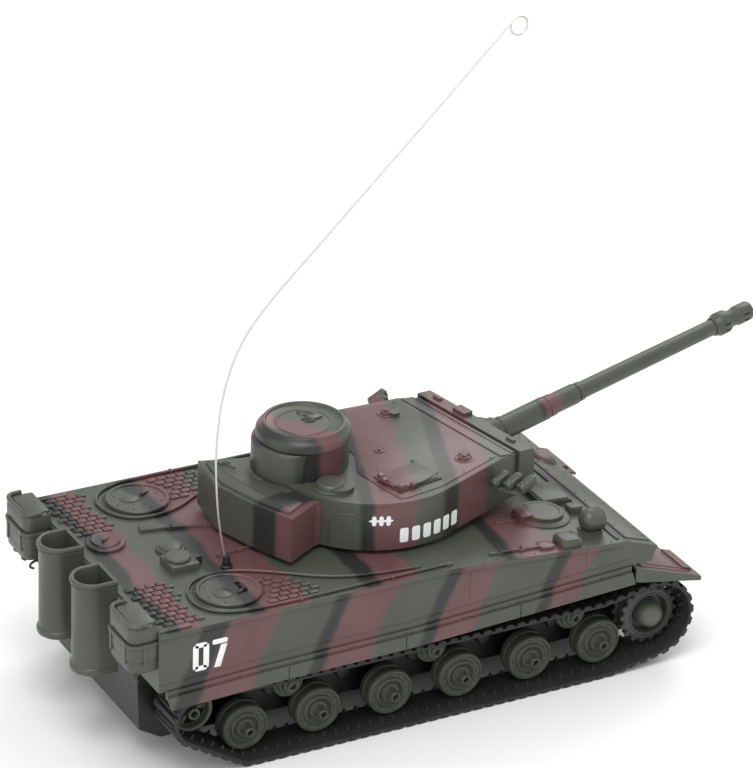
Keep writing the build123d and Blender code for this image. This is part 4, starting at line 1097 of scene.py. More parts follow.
class TANK_OT_air_filters(bpy.types.Operator):
    """Air filters on the rear plate, with straps and hooks."""

    bl_idname = "tank.air_filters"
    bl_label = "Air filters"

    def execute(self, context):
        for name, side in SIDES.items():
            piece(f"air_filter_{name}_box", filter_solid(side), finish("hull_paint"), "hull",
                  f"air_filter_{name}", smooth=40)
        return {"FINISHED"}


def clamp(place, wide=3.4):
    """A tool clamp: a foot, a raised strap and a wing nut."""
    return join(brick((2.4, wide, 0.9), place, 0.2, 0.3),
                brick((1.2, wide - 1.0, 1.7), place, 0.25, 0.3),
                brick((0.6, 1.4, 2.3), place, 0.15, 0.2))


class TANK_OT_deck_tools(bpy.types.Operator):
    """Jack block, caps, pry bar, cleaning rods, shovel and boxes on the deck."""

    bl_idname = "tank.deck_tools"
    bl_label = "Deck tools"

    def execute(self, context):
        cap = [(6.4, 0), (6.5, 0.9), (6.1, 1.5), (5.2, 1.7), (5.0, 2.3), (4.6, 2.55), (0.4, 2.6)]
        hatch = [(8.5, 0), (8.6, 1.0), (8.2, 1.5), (6.6, 1.6), (6.4, 2.1), (6.0, 2.5), (5.2, 2.3),
                 (0.4, 2.2)]
        jack = Place((-83.5, -15.5, DECK))
        parts = [turned(cap, ROOF_DECK.at(-81, -1), 40), turned(hatch, ROOF_DECK.at(-104, 15), 44),
                 rivets([(a, b, 1.5) for a, b in ring_of(6, 7.5)], 0.45, 0.35,
                        ROOF_DECK.at(-104, 15)),
                 brick((5.2, 1.1, 1.0), ROOF_DECK.at(-104, 15, 2.1, 0.6), 0.25, 0.4),
                 slab(rounded([(-6.5, -6.5), (6.5, -6.5), (6.5, 6.5), (-6.5, 6.5)], 1.0, 3), 0, 3.4,
                      0.5, jack, 0),
                 turned([(5.4, 3.2), (5.5, 4.3), (5.1, 4.9), (0.4, 5.0)], jack.at(-0.6, 0.6), 36),
                 brick((4.4, 3.4, 3.0), jack.at(8.2, 1.0), 0.4, 0.7)]
        bar = Place((-77, -15.5, DECK), (27.5, 1.6, 0))
        parts.append(slab(rounded([(11, -0.8), (27.6, -0.55), (27.6, 0.55), (11, 0.8)], 0.4, 2), 0,
                          1.5, 0.35, bar, 0))
        parts += [clamp(bar.at(d, 0), 3.0) for d in (13.0, 22.5)]
        rod = Place((-84, 19.5, DECK), (48.0, -13.6, 0))
        parts.append(slab(rounded([(-2, -2.4), (8, -1.4), (49.2, -0.8), (49.2, 1.0), (8, 2.6),
                                   (-2, 3.4)], 0.8, 3), 0, 1.45, 0.4,
                          rod, 0))
        parts += [clamp(rod.at(d, 0.1), 3.6) for d in (12.0, 27.0, 42.0)]
        shovel = FRONT_DECK.at(31.5, -59.6)
        parts += [brick((19, 1.4, 1.2), shovel, 0.35, 0.5),
                  brick((7.6, 6.4, 1.45), FRONT_DECK.at(50, -59.6), 0.45, 2.0),
                  brick((7.2, 1.7, 1.25), FRONT_DECK.at(43.5, -59.6), 0.35, 0.5),
                  clamp(FRONT_DECK.at(27, -59.6), 3.0), clamp(FRONT_DECK.at(38, -59.6), 3.0),
                  brick((10, 9.3, 3.2), FRONT_DECK.at(61, -59.8), 0.5, 1.0),
                  brick((9.0, 8.3, 0.7), FRONT_DECK.at(61, -59.8, 3.1), 0.3, 1.0),
                  rivets([(-3.4, -3.0, 3.8), (3.4, -3.0, 3.8), (-3.4, 3.0, 3.8), (3.4, 3.0, 3.8)],
                         0.4, 0.3,
                         FRONT_DECK.at(61, -59.8))]
        piece("deck_tool_set", join(*parts), finish("hull_paint"), "hull", "deck_tools")
        return {"FINISHED"}


class TANK_OT_hull_trim(bpy.types.Operator):
    """Rivets, edge strips, seams and small fittings of the upper hull."""

    bl_idname = "tank.hull_trim"
    bl_label = "Hull trim"

    def execute(self, context):
        parts = []
        for side in SIDES.values():
            edge_row = [(x, side * 64.3, 0.0) for x in np.arange(-112, 18, 6.4)]
            parts.append(rivets(edge_row, sizes().rivet, 0.3, ROOF_DECK))
            parts.append(rivets([(a, side * 64.3, 0.0) for a in np.arange(4, 84, 6.4)],
                                sizes().rivet, 0.3, FRONT_DECK))
            strip = [(x, side * HULL_HALF, DECK - 3.0) for x in np.linspace(-116.6, 19, 30)]
            parts.append(tube(np.array(strip), 0.42, 8))
            slope = [(x, side * HULL_HALF,
                      DECK - 3.0 - max(0,
                                       x - 20) * math.tan(SLOPE)) for x in np.linspace(20, 106, 20)]
            parts.append(tube(np.array(slope), 0.42, 8))
            seam = [(x, side * HULL_HALF,
                     lower_edge(x) + 3.4) for x in np.linspace(-116.6, 110, 60)]
            parts.append(tube(np.array(seam), 0.3, 8))
            parts.append(slab(rounded([(-116.8, -1.6), (-101, -1.6), (-101, 1.6), (-116.8, 1.6)],
                                      0.8, 3), 0, 0.9, 0.3,
                              ROOF_DECK.at(0, side * 63.0), 0))
            for x in (30.0, 88.0):
                parts.append(slab(rounded([(-0.5, -6.5), (0.5, -6.5), (0.5, 6.5), (-0.5, 6.5)], 0.3,
                                          2), -0.1, 0.3, 0.1,
                                  Place((x, side * 65.9, 63.5), (1, 0, 0), (0, side, 0))))
        piece("hull_rivets_and_seams", join(*parts), finish("hull_paint"), "hull")
        front = []
        for y in (-33.0, 33.0):
            hatch = FRONT_DECK.at(64, y)
            front.append(turned([(9.2, 2.0), (9.3, 2.7), (8.9, 3.0), (7.8, 3.0), (7.4, 2.7),
                                 (0.4, 2.7)], hatch, 48))
            front.append(turned([(11.6, 1.2), (12.6, 0.6), (12.7, -0.2), (11.0, -0.2),
                                 (11.0, 1.2)][::-1], hatch, 48, closed=True))
            front.append(brick((6.4, 8.6, 1.2), FRONT_DECK.at(54, y, 2.4), 0.35, 0.8))
            front.append(brick((7.0, 5.4, 3.4), FRONT_DECK.at(80, y), 0.7, 1.4))
            front.append(slab(rounded([(-6, -1.4), (6, -1.4), (6, 1.4), (-6, 1.4)], 0.6, 2), 0, 0.7,
                              0.25, FRONT_DECK.at(46, y), 0))
        front.append(brick((13.4, 16.4, 0.8), FRONT_DECK.at(75.5, -17, 2.3), 0.3, 0.8))
        front.append(brick((9.0, 12.0, 3.0), FRONT_DECK.at(74.0, 15), 0.6, 1.4))
        front.append(slab(rounded([(84, -63), (85.6, -63), (85.6, 63), (84, 63)], 0.5, 2), -0.1,
                          0.75, 0.25, FRONT_DECK))
        front.append(slab(rounded([(40, 50), (41, 50), (58, 61), (58, 62), (57, 62), (40, 51)], 0.3,
                                  2), 0, 0.7, 0.2, FRONT_DECK, 0))
        glacis = Place((107.7, 0, 68.0), (15.8, 0, -5.5), (5.5, 0, 15.8))
        front.append(slab(rounded([(1.0, -62), (15.4, -62), (15.4, 62), (1.0, 62)], 1.0, 2), -0.2,
                          0.45, 0.2, glacis))
        rows = [(a, y, 0.45) for a in (3.0, 13.4) for y in np.arange(-58, 59, 8.3)]
        front.append(rivets(rows, sizes().rivet, 0.3, glacis))
        gun_ball = Place((117.0, 22.0, 64.6), (15.8, 0, -5.5), (5.5, 0, 15.8))
        front.append(turned([(6.6, -0.3), (6.7, 0.5), (6.0, 1.6), (4.4, 2.6), (2.0, 3.1),
                             (0.3, 3.2)], gun_ball, 36))
        piece("front_deck_fittings", join(*front), finish("hull_paint"), "hull")
        return {"FINISHED"}


def lower_edge(x):
    """Height of the upper hull's lower edge, which rises in three straight runs."""
    return float(np.interp(x, [-117.0, -66.0, 4.0, 112.0], [47.2, 49.3, 50.2, 55.5]))


class TANK_OT_rear_plate(bpy.types.Operator):
    """Brackets, pipes and bolts on the rear plate."""

    bl_idname = "tank.rear_plate"
    bl_label = "Rear plate"

    def execute(self, context):
        parts = []
        back = Place((REAR, 0, 0), (0, -1, 0), (-1, 0, 0))
        for side in SIDES.values():
            y = side * 31.0
            parts.append(brick((6.0, 3.2, 2.2), back.at(y, 66.0), 0.4, 0.8))
            parts.append(brick((3.6, 12.0, 1.6), back.at(y, 55.0), 0.35, 0.6))
            for z in (52.5, 70.5, 60.5):
                parts.append(rivets([(y - 4.2, z, 0.0), (y + 4.2, z, 0.0)], 0.7, 0.6, back))
            pipe = np.array([(-118.2, side * 30.0, 74.0), (-121.5, side * 32.0, 72.6),
                             (-121.8, side * 35.6, 64.0),
                             (-120.4, side * 37.5, 56.0), (-118.4, side * 37.5, 51.6)])
            parts.append(tube(nurbs_line(pipe, 8), 0.85, 10))
        parts.append(slab(rounded([(-7.2, 48.4), (7.2, 48.4), (7.2, 70.0), (-7.2, 70.0)], 1.6, 3),
                          -0.1, 1.0, 0.4, back, 0))
        parts.append(turned([(4.4, 0.9), (4.5, 1.9), (4.0, 2.3), (2.6, 2.4), (2.4, 3.1),
                             (0.4, 3.2)], back.at(0, 59.5), 32))
        parts.append(rivets([(a, b, 1.0) for a in (-5.4, 5.4) for b in (50.4, 59.2, 68.0)], 0.55,
                            0.4, back))
        parts.append(slab(rounded([(-64, 72.0), (64, 72.0), (64, 73.4), (-64, 73.4)], 0.4, 2), -0.1,
                          0.6, 0.2, back, 0))
        piece("rear_plate_fittings", join(*parts), finish("hull_paint"), "hull")
        tub = []
        for side in SIDES.values():
            for x, z in WHEEL_PLACES[:-1]:
                stop = axle(x + 17.4, z + 9.0, side)
                tub.append(turned([(3.5, 43.1), (3.5, 44.0), (2.9, 44.5), (0.3, 44.6)], stop, 28))
            final_drive = axle(127.8, 22.6, side)
            tub.append(rivets([(a, b, 41.0) for a, b in ring_of(8, 8.6)], 0.7, 0.7, final_drive))
            for x in np.arange(-104, 120, 14.0):
                tub.append(rivets([(x, -38.4 if side > 0 else 38.4, 41.0)], 0.7, 0.5,
                                  Place((0, 0, 0), (1, 0, 0), (0, side, 0))))
        piece("tub_bolts_and_stops", join(*tub), finish("chassis_black"), "hull", None)
        return {"FINISHED"}


class TANK_OT_guards(bpy.types.Operator):
    """Rivets and folds on the side skirts and front mudguards."""

    bl_idname = "tank.guards"
    bl_label = "Skirts and mudguards"

    def execute(self, context):
        parts = []
        for side in SIDES.values():
            for x in np.arange(-108, 108, 13.6):
                edge = lower_edge(x)
                row = Place((x, side * 68.0, edge - 2.2), (1, 0, 0), (0, side, 0))
                parts.append(rivets([(-1.1, 0, -0.15), (1.1, 0, -0.15)], 0.42, 0.32,
                                    row.at(0, 0, -0.35)))
            fold = [(x, side * 67.75, lower_edge(x) - 2.75) for x in np.linspace(-113, 110, 50)]
            parts.append(tube(np.array(fold), 0.22, 8))
        piece("skirt_rivets", join(*parts), finish("hull_paint"), "hull")
        guard = []
        tilt = math.atan2(11.8, 34.2)
        for side in SIDES.values():
            top = Place((112.6, 0, 54.4), (math.cos(tilt), 0, -math.sin(tilt)),
                        (math.sin(tilt), 0, math.cos(tilt)))
            guard.append(rivets([(33.0, side * y, 0.0) for y in np.arange(44.5, 66, 4.6)], 0.55,
                                0.35, top))
            guard.append(slab(rounded([(3, side * 43), (31, side * 43), (31, side * 65),
                                       (3, side * 65)], 1.2, 3), -0.1, 0.35, 0.15, top, 0))
            guard.append(slab(rounded([(8.5, side * 45.5), (29, side * 45.5), (29, side * 62.5),
                                       (8.5, side * 62.5)], 1.0, 3), 0.3, 0.7,
                              0.15, top, 0))
            flange = Place((0, side * 67.5, 0), (1, 0, 0), (0, side, 0))
            guard.append(rivets([(118 + k * 8.5, -side * (48.6 - k * 2.4), 0.0) for k in range(4)],
                                0.42, 0.3, flange.at(0, 0, -0.1)))
        piece("mudguard_ribs", join(*guard), finish("guard_paint"), "hull")
        return {"FINISHED"}


class TANK_OT_headlight(bpy.types.Operator):
    """Headlight housing on the sloping deck, with its glass."""

    bl_idname = "tank.headlight"
    bl_label = "Headlight"

    def execute(self, context):
        deck_height = DECK - 77.0 * math.tan(SLOPE)
        lamp = Place((97.0, -52.0, deck_height + 5.5), (0, 1, 0), (1, 0, 0))
        shell = [(0.4, -5.0), (2.4, -4.7), (3.9, -3.9), (4.8, -2.6), (5.15, -1.0), (5.2, 3.6),
                 (5.35, 3.9), (5.35, 4.8), (5.1, 5.15),
                 (4.6, 5.2), (4.3, 4.7), (4.3, 4.2), (0.4, 4.2)]
        foot = turned([(3.0, -0.5), (3.0, 0.7), (2.4, 1.2), (2.2, 3.4)],
                      Place((97.0, -52.0, deck_height)), 28)
        seat = brick((9.6, 7.4, 0.9), FRONT_DECK.at(77.2, -52.0), 0.3, 0.9)
        bolts = rivets([(-3.9, -2.8, 0.9), (3.9, -2.8, 0.9), (-3.9, 2.8, 0.9), (3.9, 2.8, 0.9)],
                       0.4, 0.3, FRONT_DECK.at(77.2, -52.0))
        piece("headlight_housing", join(turned(shell, lamp, 48), foot, seat, bolts),
              finish("hull_paint"), "hull", "headlight",
              smooth=40)
        glass = [(4.25, 4.25), (4.2, 4.6), (3.4, 4.95), (2.0, 5.12), (0.3, 5.18)]
        piece("headlight_glass", turned(glass, lamp, 40), finish("lens_grey"), "hull", None,
              60)
        return {"FINISHED"}


ANTENNA_ROUTE = [(-66.2, 75.2), (-70.0, 93.4), (-71.9, 116.0), (-72.1, 136.0), (-69.6, 157.0),
                 (-62.2, 178.6), (-48.4, 195.6),
                 (-28.4, 214.7), (-2.3, 240.0), (26.5, 267.9), (54.3, 295.4)]


class TANK_OT_antenna(bpy.types.Operator):
    """Bowed spring wire aerial with a ring at its tip and a tapered rubber foot."""

    bl_idname = "tank.antenna"
    bl_label = "Antenna"

    def execute(self, context):
        tip = np.array((61.2, 302.4))
        heading = tip - np.array(ANTENNA_ROUTE[-1])
        heading = heading / np.linalg.norm(heading)
        across = np.array([-heading[1], heading[0]])
        angle = np.radians(np.arange(22.5, 380, 45))
        reach = 4.0 / math.cos(math.radians(22.5))
        loop = tip + reach * (np.sin(angle)[:,
                                            None] * heading + np.cos(angle)[:, None] * across) - 4.0 * across
        flat = np.concatenate([ANTENNA_ROUTE, loop])
        line = nurbs_line(np.column_stack([flat[:, 0], np.full(len(flat), -25.0), flat[:, 1]]), 10)
        piece("antenna_wire", tube(line, 0.47, 12), finish("wire_steel"), "hull", "antenna",
              60)
        foot = [(2.6, -0.1), (2.6, 1.0), (2.3, 1.4), (2.0, 1.5), (1.85, 3.0), (1.6, 3.1),
                (1.55, 3.8), (1.45, 3.9), (1.35, 5.6),
                (1.0, 6.2), (0.5, 6.3)]
        piece("antenna_foot", turned(foot, Place((-66.2, -25.0, DECK)), 32),
              finish("chassis_black"), "hull", None)
        return {"FINISHED"}


class TANK_OT_stencils(bpy.types.Operator):
    """White stencilled number on both hull walls."""

    bl_idname = "tank.stencils"
    bl_label = "Stencils"

    def execute(self, context):
        parts = []
        thick = 0.06
        for side in SIDES.values():
            wall = Place((-93.6, side * HULL_HALF, 60.2), (1 if side < 0 else -1, 0, 0),
                         (0, side, 0))
            zero = [((-7.9, 5.6), (-5.3, -5.6)), ((-3.1, 5.6), (-0.5, -5.6)),
                    ((-6.9, 6.6), (-1.5, 4.3)), ((-6.9, -4.3), (-1.5, -6.6))]
            seven = [((1.0, 6.6), (8.0, 4.3))]
            for (x0, z0), (x1, z1) in zero + seven:
                flip = [(x0, z0), (x1, z0), (x1, z1), (x0, z1)]
                parts.append(slab(rounded(flip, 0.9, 3), -0.02, thick, 0.01, wall, 0))
            parts.append(slab(np.array([(5.0, 3.7), (7.9, 3.7), (4.9, -6.6), (1.9, -6.6)]), -0.02,
                              thick, 0.01, wall, 0))
        piece("hull_number", join(*parts), finish("stencil_white"), "hull")
        return {"FINISHED"}


# ---- turret -------------------------------------------------------------------------------------


TURRET_R = 45.0
SHOULDER = (8.0, -math.sqrt(TURRET_R**2 - 8.0**2))
FRONT_CORNER = (57.0, -33.5)
ROOF_PLACE = TURRET.at(0, 0, ROOF)


def wall_patch(along0, along1, z0, z1, thick, side=-1, steps=14, corner=0.0):
    """A thin plate that follows the turret wall: along is the distance from the shoulder, negative
    round the back and positive towards the front; point = wall(along) + outward * thickness."""
    along = np.linspace(along0, along1, steps)
    angle = math.radians(-79.76) + np.minimum(along, 0) / TURRET_R
    run = np.array(FRONT_CORNER) - np.array(SHOULDER)
    run = run / np.linalg.norm(run)
    round_part = TURRET_R * np.column_stack([np.cos(angle), np.sin(angle)])
    flat_part = np.array(SHOULDER) + np.maximum(along, 0)[:, None] * run
    out_round = np.column_stack([np.cos(angle), np.sin(angle)])
    out_flat = np.array([run[1], -run[0]])
    base = np.where(along[:, None] < 0, round_part, flat_part)
    out = np.where(along[:, None] < 0, out_round, out_flat[None])
    rise = np.clip(np.minimum(along - along0, along1 - along) / max(corner, 1e-6), 0,
                   1) if corner else np.ones(steps)
    cut = corner * (1 - np.sqrt(np.clip(1 - (1 - rise) ** 2, 0, 1)))
    rings = []
    for b, o, c in zip(base, out, cut):
        inside, outside = b - 0.05 * o, b + thick * o
        rings.append([(*inside, z0 + c), (*outside, z0 + c), (*outside, z1 - c), (*inside, z1 - c)])
    rings = np.array(rings)
    rings[..., 1] *= -side
    vertices, faces = skin(rings)
    return TURRET.put(vertices), faces


class TANK_OT_turret_markings(bpy.types.Operator):
    """Plain stencilled bars where the real toy carries lettering."""

    bl_idname = "tank.turret_markings"
    bl_label = "Turret markings"

    def execute(self, context):
        parts = []
        for side in SIDES.values():
            for k in range(6):
                start = -24.0 + k * 5.6
                parts.append(wall_patch(start, start + 3.9, 79.6, 86.4, 0.08, side, 10, 0.8))
            for k in range(3):
                start = -36.4 + k * 3.1
                parts.append(wall_patch(start, start + 1.9, 88.4, 93.0, 0.08, side, 8, 0.8))
            parts.append(wall_patch(-37.6, -27.2, 90.2, 91.2, 0.07, side, 12, 0.3))
        piece("turret_bars", join(*parts), finish("stencil_white"), "turret")
        return {"FINISHED"}


class TANK_OT_turret_roof(bpy.types.Operator):
    """Roof plates, hatch, ventilator, lifting knobs, slot and the escape hatch outline."""

    bl_idname = "tank.turret_roof"
    bl_label = "Turret roof"

    def execute(self, context):
        parts = []
        for start, end in ((46.7, 53.6), (54.2, 56.6)):
            drop = 2.0 / 11.6
            plate = Place(TURRET.put([46.4, 0, ROOF]), TURRET.x - drop * TURRET.z,
                          TURRET.z + drop * TURRET.x)
            half = 34.2 - (start - 46.4) * 0.2
            parts.append(slab(rounded([(start - 46.4, -half), (end - 46.4, -half),
                                       (end - 46.4, half), (start - 46.4, half)], 0.3, 2),
                              -0.1, 0.55, 0.18, plate, 0))
        main = rounded([(-14, -40.5), (8, -41.0), (46.0, -33.0), (46.0, 33.0), (8, 41.0),
                        (-4, 42.5), (-4, 4), (-14, -10)], 3.0, 4)
        parts.append(slab(main, -0.1, 0.35, 0.15, ROOF_PLACE, 0))
        for y in (-26.9, 26.9):
            knob = [(4.2, 0.2), (4.2, 0.6), (3.6, 0.7), (3.3, 0.5), (2.7, 0.5), (2.5, 1.3),
                    (1.9, 1.6), (1.6, 1.3), (1.2, 1.3), (1.0, 2.1),
                    (0.3, 2.3)]
            parts.append(turned(knob, ROOF_PLACE.at(32.1, y), 36))
        parts.append(turned([(2.6, 0.2), (2.6, 0.7), (2.1, 0.9), (1.7, 0.6), (0.9, 0.6), (0.8, 1.2),
                             (0.3, 1.3)], ROOF_PLACE.at(6.9, 0.5), 32))
        parts.append(turned([(7.6, -0.1), (7.6, 0.5), (6.9, 0.9), (6.2, 0.9), (6.0, 2.6),
                             (5.5, 3.1), (0.4, 3.3)], ROOF_PLACE.at(-31.6, -14.0), 44))
        parts.append(brick((2.0, 9.2, 0.9), ROOF_PLACE.at(12.3, -20.0, 0.2), 0.3, 0.6))
        hatch = ROOF_PLACE.at(0.5, -27.2, 1.1)
        parts.append(slab(rounded([(-10.6, -8.2), (10.6, -8.2), (10.6, 8.2), (-10.6, 8.2)], 2.2, 4),
                          0, 0.7, 0.3, hatch, 0))
        rail = np.array([(12.6, -4.6, 0.5), (8, -7.0, 0.9), (0, -8.4, 0.9), (-6, -8.4, 0.9),
                         (-10.6, -5.6, 0.9), (-12.6, 0, 0.9), (-12.4, 6, 0.5)])
        parts.append(tube(nurbs_line(rail, 8), 0.5, 8, hatch))
        parts += [brick((3.2, 2.4, 1.5), hatch.at(x, y, 0.5, t), 0.3, 0.5) for x, y, t in
                  ((-9.2, -6.6, 0.7), (-11.6, 2.0, 1.5), (-3.6, -8.2, 0.1), (-10.4, 6.0, 1.4))]
        for a, b in ((-6, -13.6), (-2, -38.5), (42, 33.5), (42, -33.0), (24, -36.6)):
            parts.append(rivets([(a, b, 0.3)], 0.6, 0.4, ROOF_PLACE))
        piece("turret_roof_fittings", join(*parts), finish("turret_paint"), "turret")
        outline = []
        for side in SIDES.values():
            t = np.linspace(0, math.pi, 26)
            along = -47.0 + 8.0 * np.cos(t)
            height = 87.0 + 6.4 * np.sin(t)
            along = np.concatenate([[along[0]], along, [along[-1]]])
            height = np.concatenate([[78.0], height, [78.0]])
            angle = math.radians(-79.76) + along / TURRET_R
            path = np.column_stack([45.02 * np.cos(angle), -side * 45.02 * np.sin(angle), height])
            outline.append(tube(path, 0.32, 8, TURRET))
            cheek = [(44.98 * math.cos(a), -side * 44.98 * math.sin(a),
                      97.6) for a in np.radians(np.linspace(-150, -80, 40))]
            outline.append(tube(np.array(cheek), 0.24, 8, TURRET))
            front_seam = np.array([(38, -side * -37.75, 96.6), (36.5, -side * -38.05, 90),
                                   (36.5, -side * -38.05, 80), (39, -side * -37.5, 77.5)])
            outline.append(tube(nurbs_line(front_seam, 6), 0.28, 8, TURRET))
        piece("turret_wall_outlines", join(*outline), finish("turret_paint"), "turret")
        return {"FINISHED"}


class TANK_OT_cupola(bpy.types.Operator):
    """Commander's cupola: drum, rim, hatch with its handle, and the collar up to the rim."""

    bl_idname = "tank.cupola"
    bl_label = "Cupola"

    def execute(self, context):
        place = TURRET.at(-26.2, 12.1)
        drum = [(20.0, 99.05), (20.0, 112.0), (20.3, 112.5), (20.75, 112.8), (20.75, 115.6),
                (20.5, 116.2), (19.8, 116.9), (18.9, 117.6),
                (18.5, 118.6), (18.0, 119.1), (17.4, 119.2), (16.9, 119.0), (16.6, 118.3),
                (16.2, 118.0), (12.6, 118.0), (12.3, 118.3),
                (11.5, 118.3), (11.2, 118.0), (0.4, 118.0)]
        parts = [turned(drum, place, 72)]
        parts.append(slab(rounded([(-3.0, -3.2), (3.0, -3.2), (3.0, 3.2), (-3.0, 3.2)], 1.0, 3),
                          117.9, 118.9, 0.3, place.at(6.6, 2.0), 0))
        handle = np.array([(6.0, 8.4, 118.1), (6.2, 8.2, 119.1), (8.6, 5.6, 119.1),
                           (10.4, 2.0, 119.1), (10.6, 1.6, 118.1)])
        parts.append(tube(nurbs_line(handle, 8), 0.42, 8, place.at(-3, 0)))
        for a in (-1.0, 1.0):
            parts.append(brick((4.2, 0.8, 0.85), place.at(2.4, a * 1.3, 117.95, -0.5), 0.2, 0.3))
        piece("cupola_drum", join(*parts), finish("cupola_paint"), "turret", "cupola", smooth=38)
        angle = np.linspace(math.radians(55), math.radians(235), 60)
        rows = [(22.6, 77.5), (22.6, 110.3), (22.2, 111.3), (21.2, 111.9), (19.5, 112.1),
                (19.5, 77.5)]
        swell = np.sin((angle - angle[0]) / (angle[-1] - angle[0]) * math.pi) ** 0.35
        radius = [20.05 + (r - 20.05) * s if r > 20.05 else np.full_like(s, r) for r,
                  _ in rows for s in [swell]]
        grid = np.stack([np.column_stack([r * np.cos(angle), r * np.sin(angle),
                                          np.full(60, z)]) for r, (_, z) in zip(radius, rows)], 1)
        vertices, faces = skin(grid)
        piece("cupola_collar", (place.put(vertices), faces), finish("cupola_paint"), "turret",
              smooth=38)
        return {"FINISHED"}


class TANK_OT_stowage_bin(bpy.types.Operator):
    """Folded stowage bin on the turret's back: lid with a sloped edge, hinges and latches."""

    bl_idname = "tank.stowage_bin"
    bl_label = "Stowage bin"

    def execute(self, context):
        parts = []
        lid = [(-49.0, -17.5), (-59.4, -21.2), (-64.0, -3), (-66.0, 17.8), (-59.9, 37.6),
               (-51.0, 32.2)]
        parts.append(slab(rounded(lid, 1.0, 3), ROOF - 1.7, ROOF - 0.15, 0.9, TURRET, 0))
        rim = np.array([(-61.3, -25.4), (-66.4, -3), (-68.6, 18.7), (-61, 41.0)])
        inner = rim * [0.992, 0.985]
        parts.append(tube(np.column_stack([inner, np.full(4, ROOF - 1.7)]), 0.5, 8, TURRET))
        for a, b in (((-61.3, -25.4), (-66.4, -3)), ((-66.4, -3), (-68.6, 18.7)),
                     ((-68.6, 18.7), (-61, 41))):
            a, b = np.array(a), np.array(b)
            middle, run = (a + b) / 2, (b - a) / np.linalg.norm(b - a)
            out = np.array([-run[1], run[0]])
            face = Place(TURRET.put([*(middle - out * 0.02), 0]), (0, 0, 1),
                         TURRET.x * out[0] + TURRET.y * out[1])
            parts.append(slab(rounded([(79.5, -7.6), (94.0, -7.6), (94.0, 7.6), (79.5, 7.6)], 1.0,
                                      3), -0.1, 0.0, 0.05, face, 0))
            parts.append(brick((3.4, 1.8, 0.5), face.at(93.5, 4.5, -0.45), 0.15, 0.4))
        for a, b in ((-51.4, 10.9), (-54.0, 27.0), (-53.0, -8.0)):
            parts.append(brick((1.0, 5.4, 0.7), TURRET.at(a, b, ROOF - 0.4, 0.2), 0.2, 0.3))
        for k in range(3):
            parts.append(brick((0.8, 2.6, 1.0),
                               TURRET.at(-56.5 + k * 1.6, 31.0 - k * 0.4, ROOF - 0.5, 0.4), 0.2,
                               0.2))
        piece("stowage_bin_lid", join(*parts), finish("bin_paint"), "turret")
        return {"FINISHED"}


class TANK_OT_smoke_launchers(bpy.types.Operator):
    """Three smoke tubes on an angled plate at each side of the turret."""

    bl_idname = "tank.smoke_launchers"
    bl_label = "Smoke launchers"

    def execute(self, context):
        parts = []
        tilt = math.radians(20)
        ahead = TURRET.x * math.cos(tilt) + TURRET.z * math.sin(tilt)
        for side in (1, -1):
            parts.append(slab(rounded([(40.5, side * 37.6), (47, side * 37.6), (47, side * 42),
                                       (40.5, side * 42)], 0.5, 2), 88.0, 90.0, 0.3,
                              TURRET))
            plate = rounded([(36.5, side * 40.2), (43.4, side * 40.2), (48.4, side * 52),
                             (41.4, side * 52)], 0.6, 2)
            plate[:, 0] = np.clip(plate[:, 0], 36.6, 46.8)
            parts.append(slab(plate, 88.6, 90.0, 0.3, TURRET))
            for k in range(3):
                spot = TURRET.put([36.5 + k * 3.4, side * (41.2 + k * 5.0), 91.0])
                tube_place = Place(spot, np.cross(ahead, TURRET.y), ahead)
                square = [(2.15, 0.1, 0), (2.45, 0.5, 0), (2.45, 6.6, 0), (2.5, 6.9, 0),
                          (2.5, 8.6, 0), (2.2, 8.95, 0), (1.75, 8.9, 0),
                          (1.7, 3.2, 0)]
                angle = np.linspace(0, 2 * math.pi, 40, endpoint=False)
                flat = (np.abs(np.cos(angle)) ** 4 + np.abs(np.sin(angle)) ** 4) ** -0.25 / 1.19
                rings = np.stack([np.outer([r for r, _, _ in square], flat * np.cos(angle)),
                                  np.outer([r for r, _, _ in square], flat * np.sin(angle)),
                                  np.repeat(np.array([h for _, h, _ in square])[:, None], 40, 1)],
                                  -1)
                vertices, faces = skin(rings)
                parts.append((tube_place.put(vertices), faces))
                parts.append(turned([(2.42, 1.4), (2.5, 1.7), (2.5, 2.3), (2.42, 2.6)], tube_place,
                                    28))
        piece("smoke_tube_sets", join(*parts), finish("turret_paint"), "turret", "smoke_launchers",
              smooth=38)
        return {"FINISHED"}


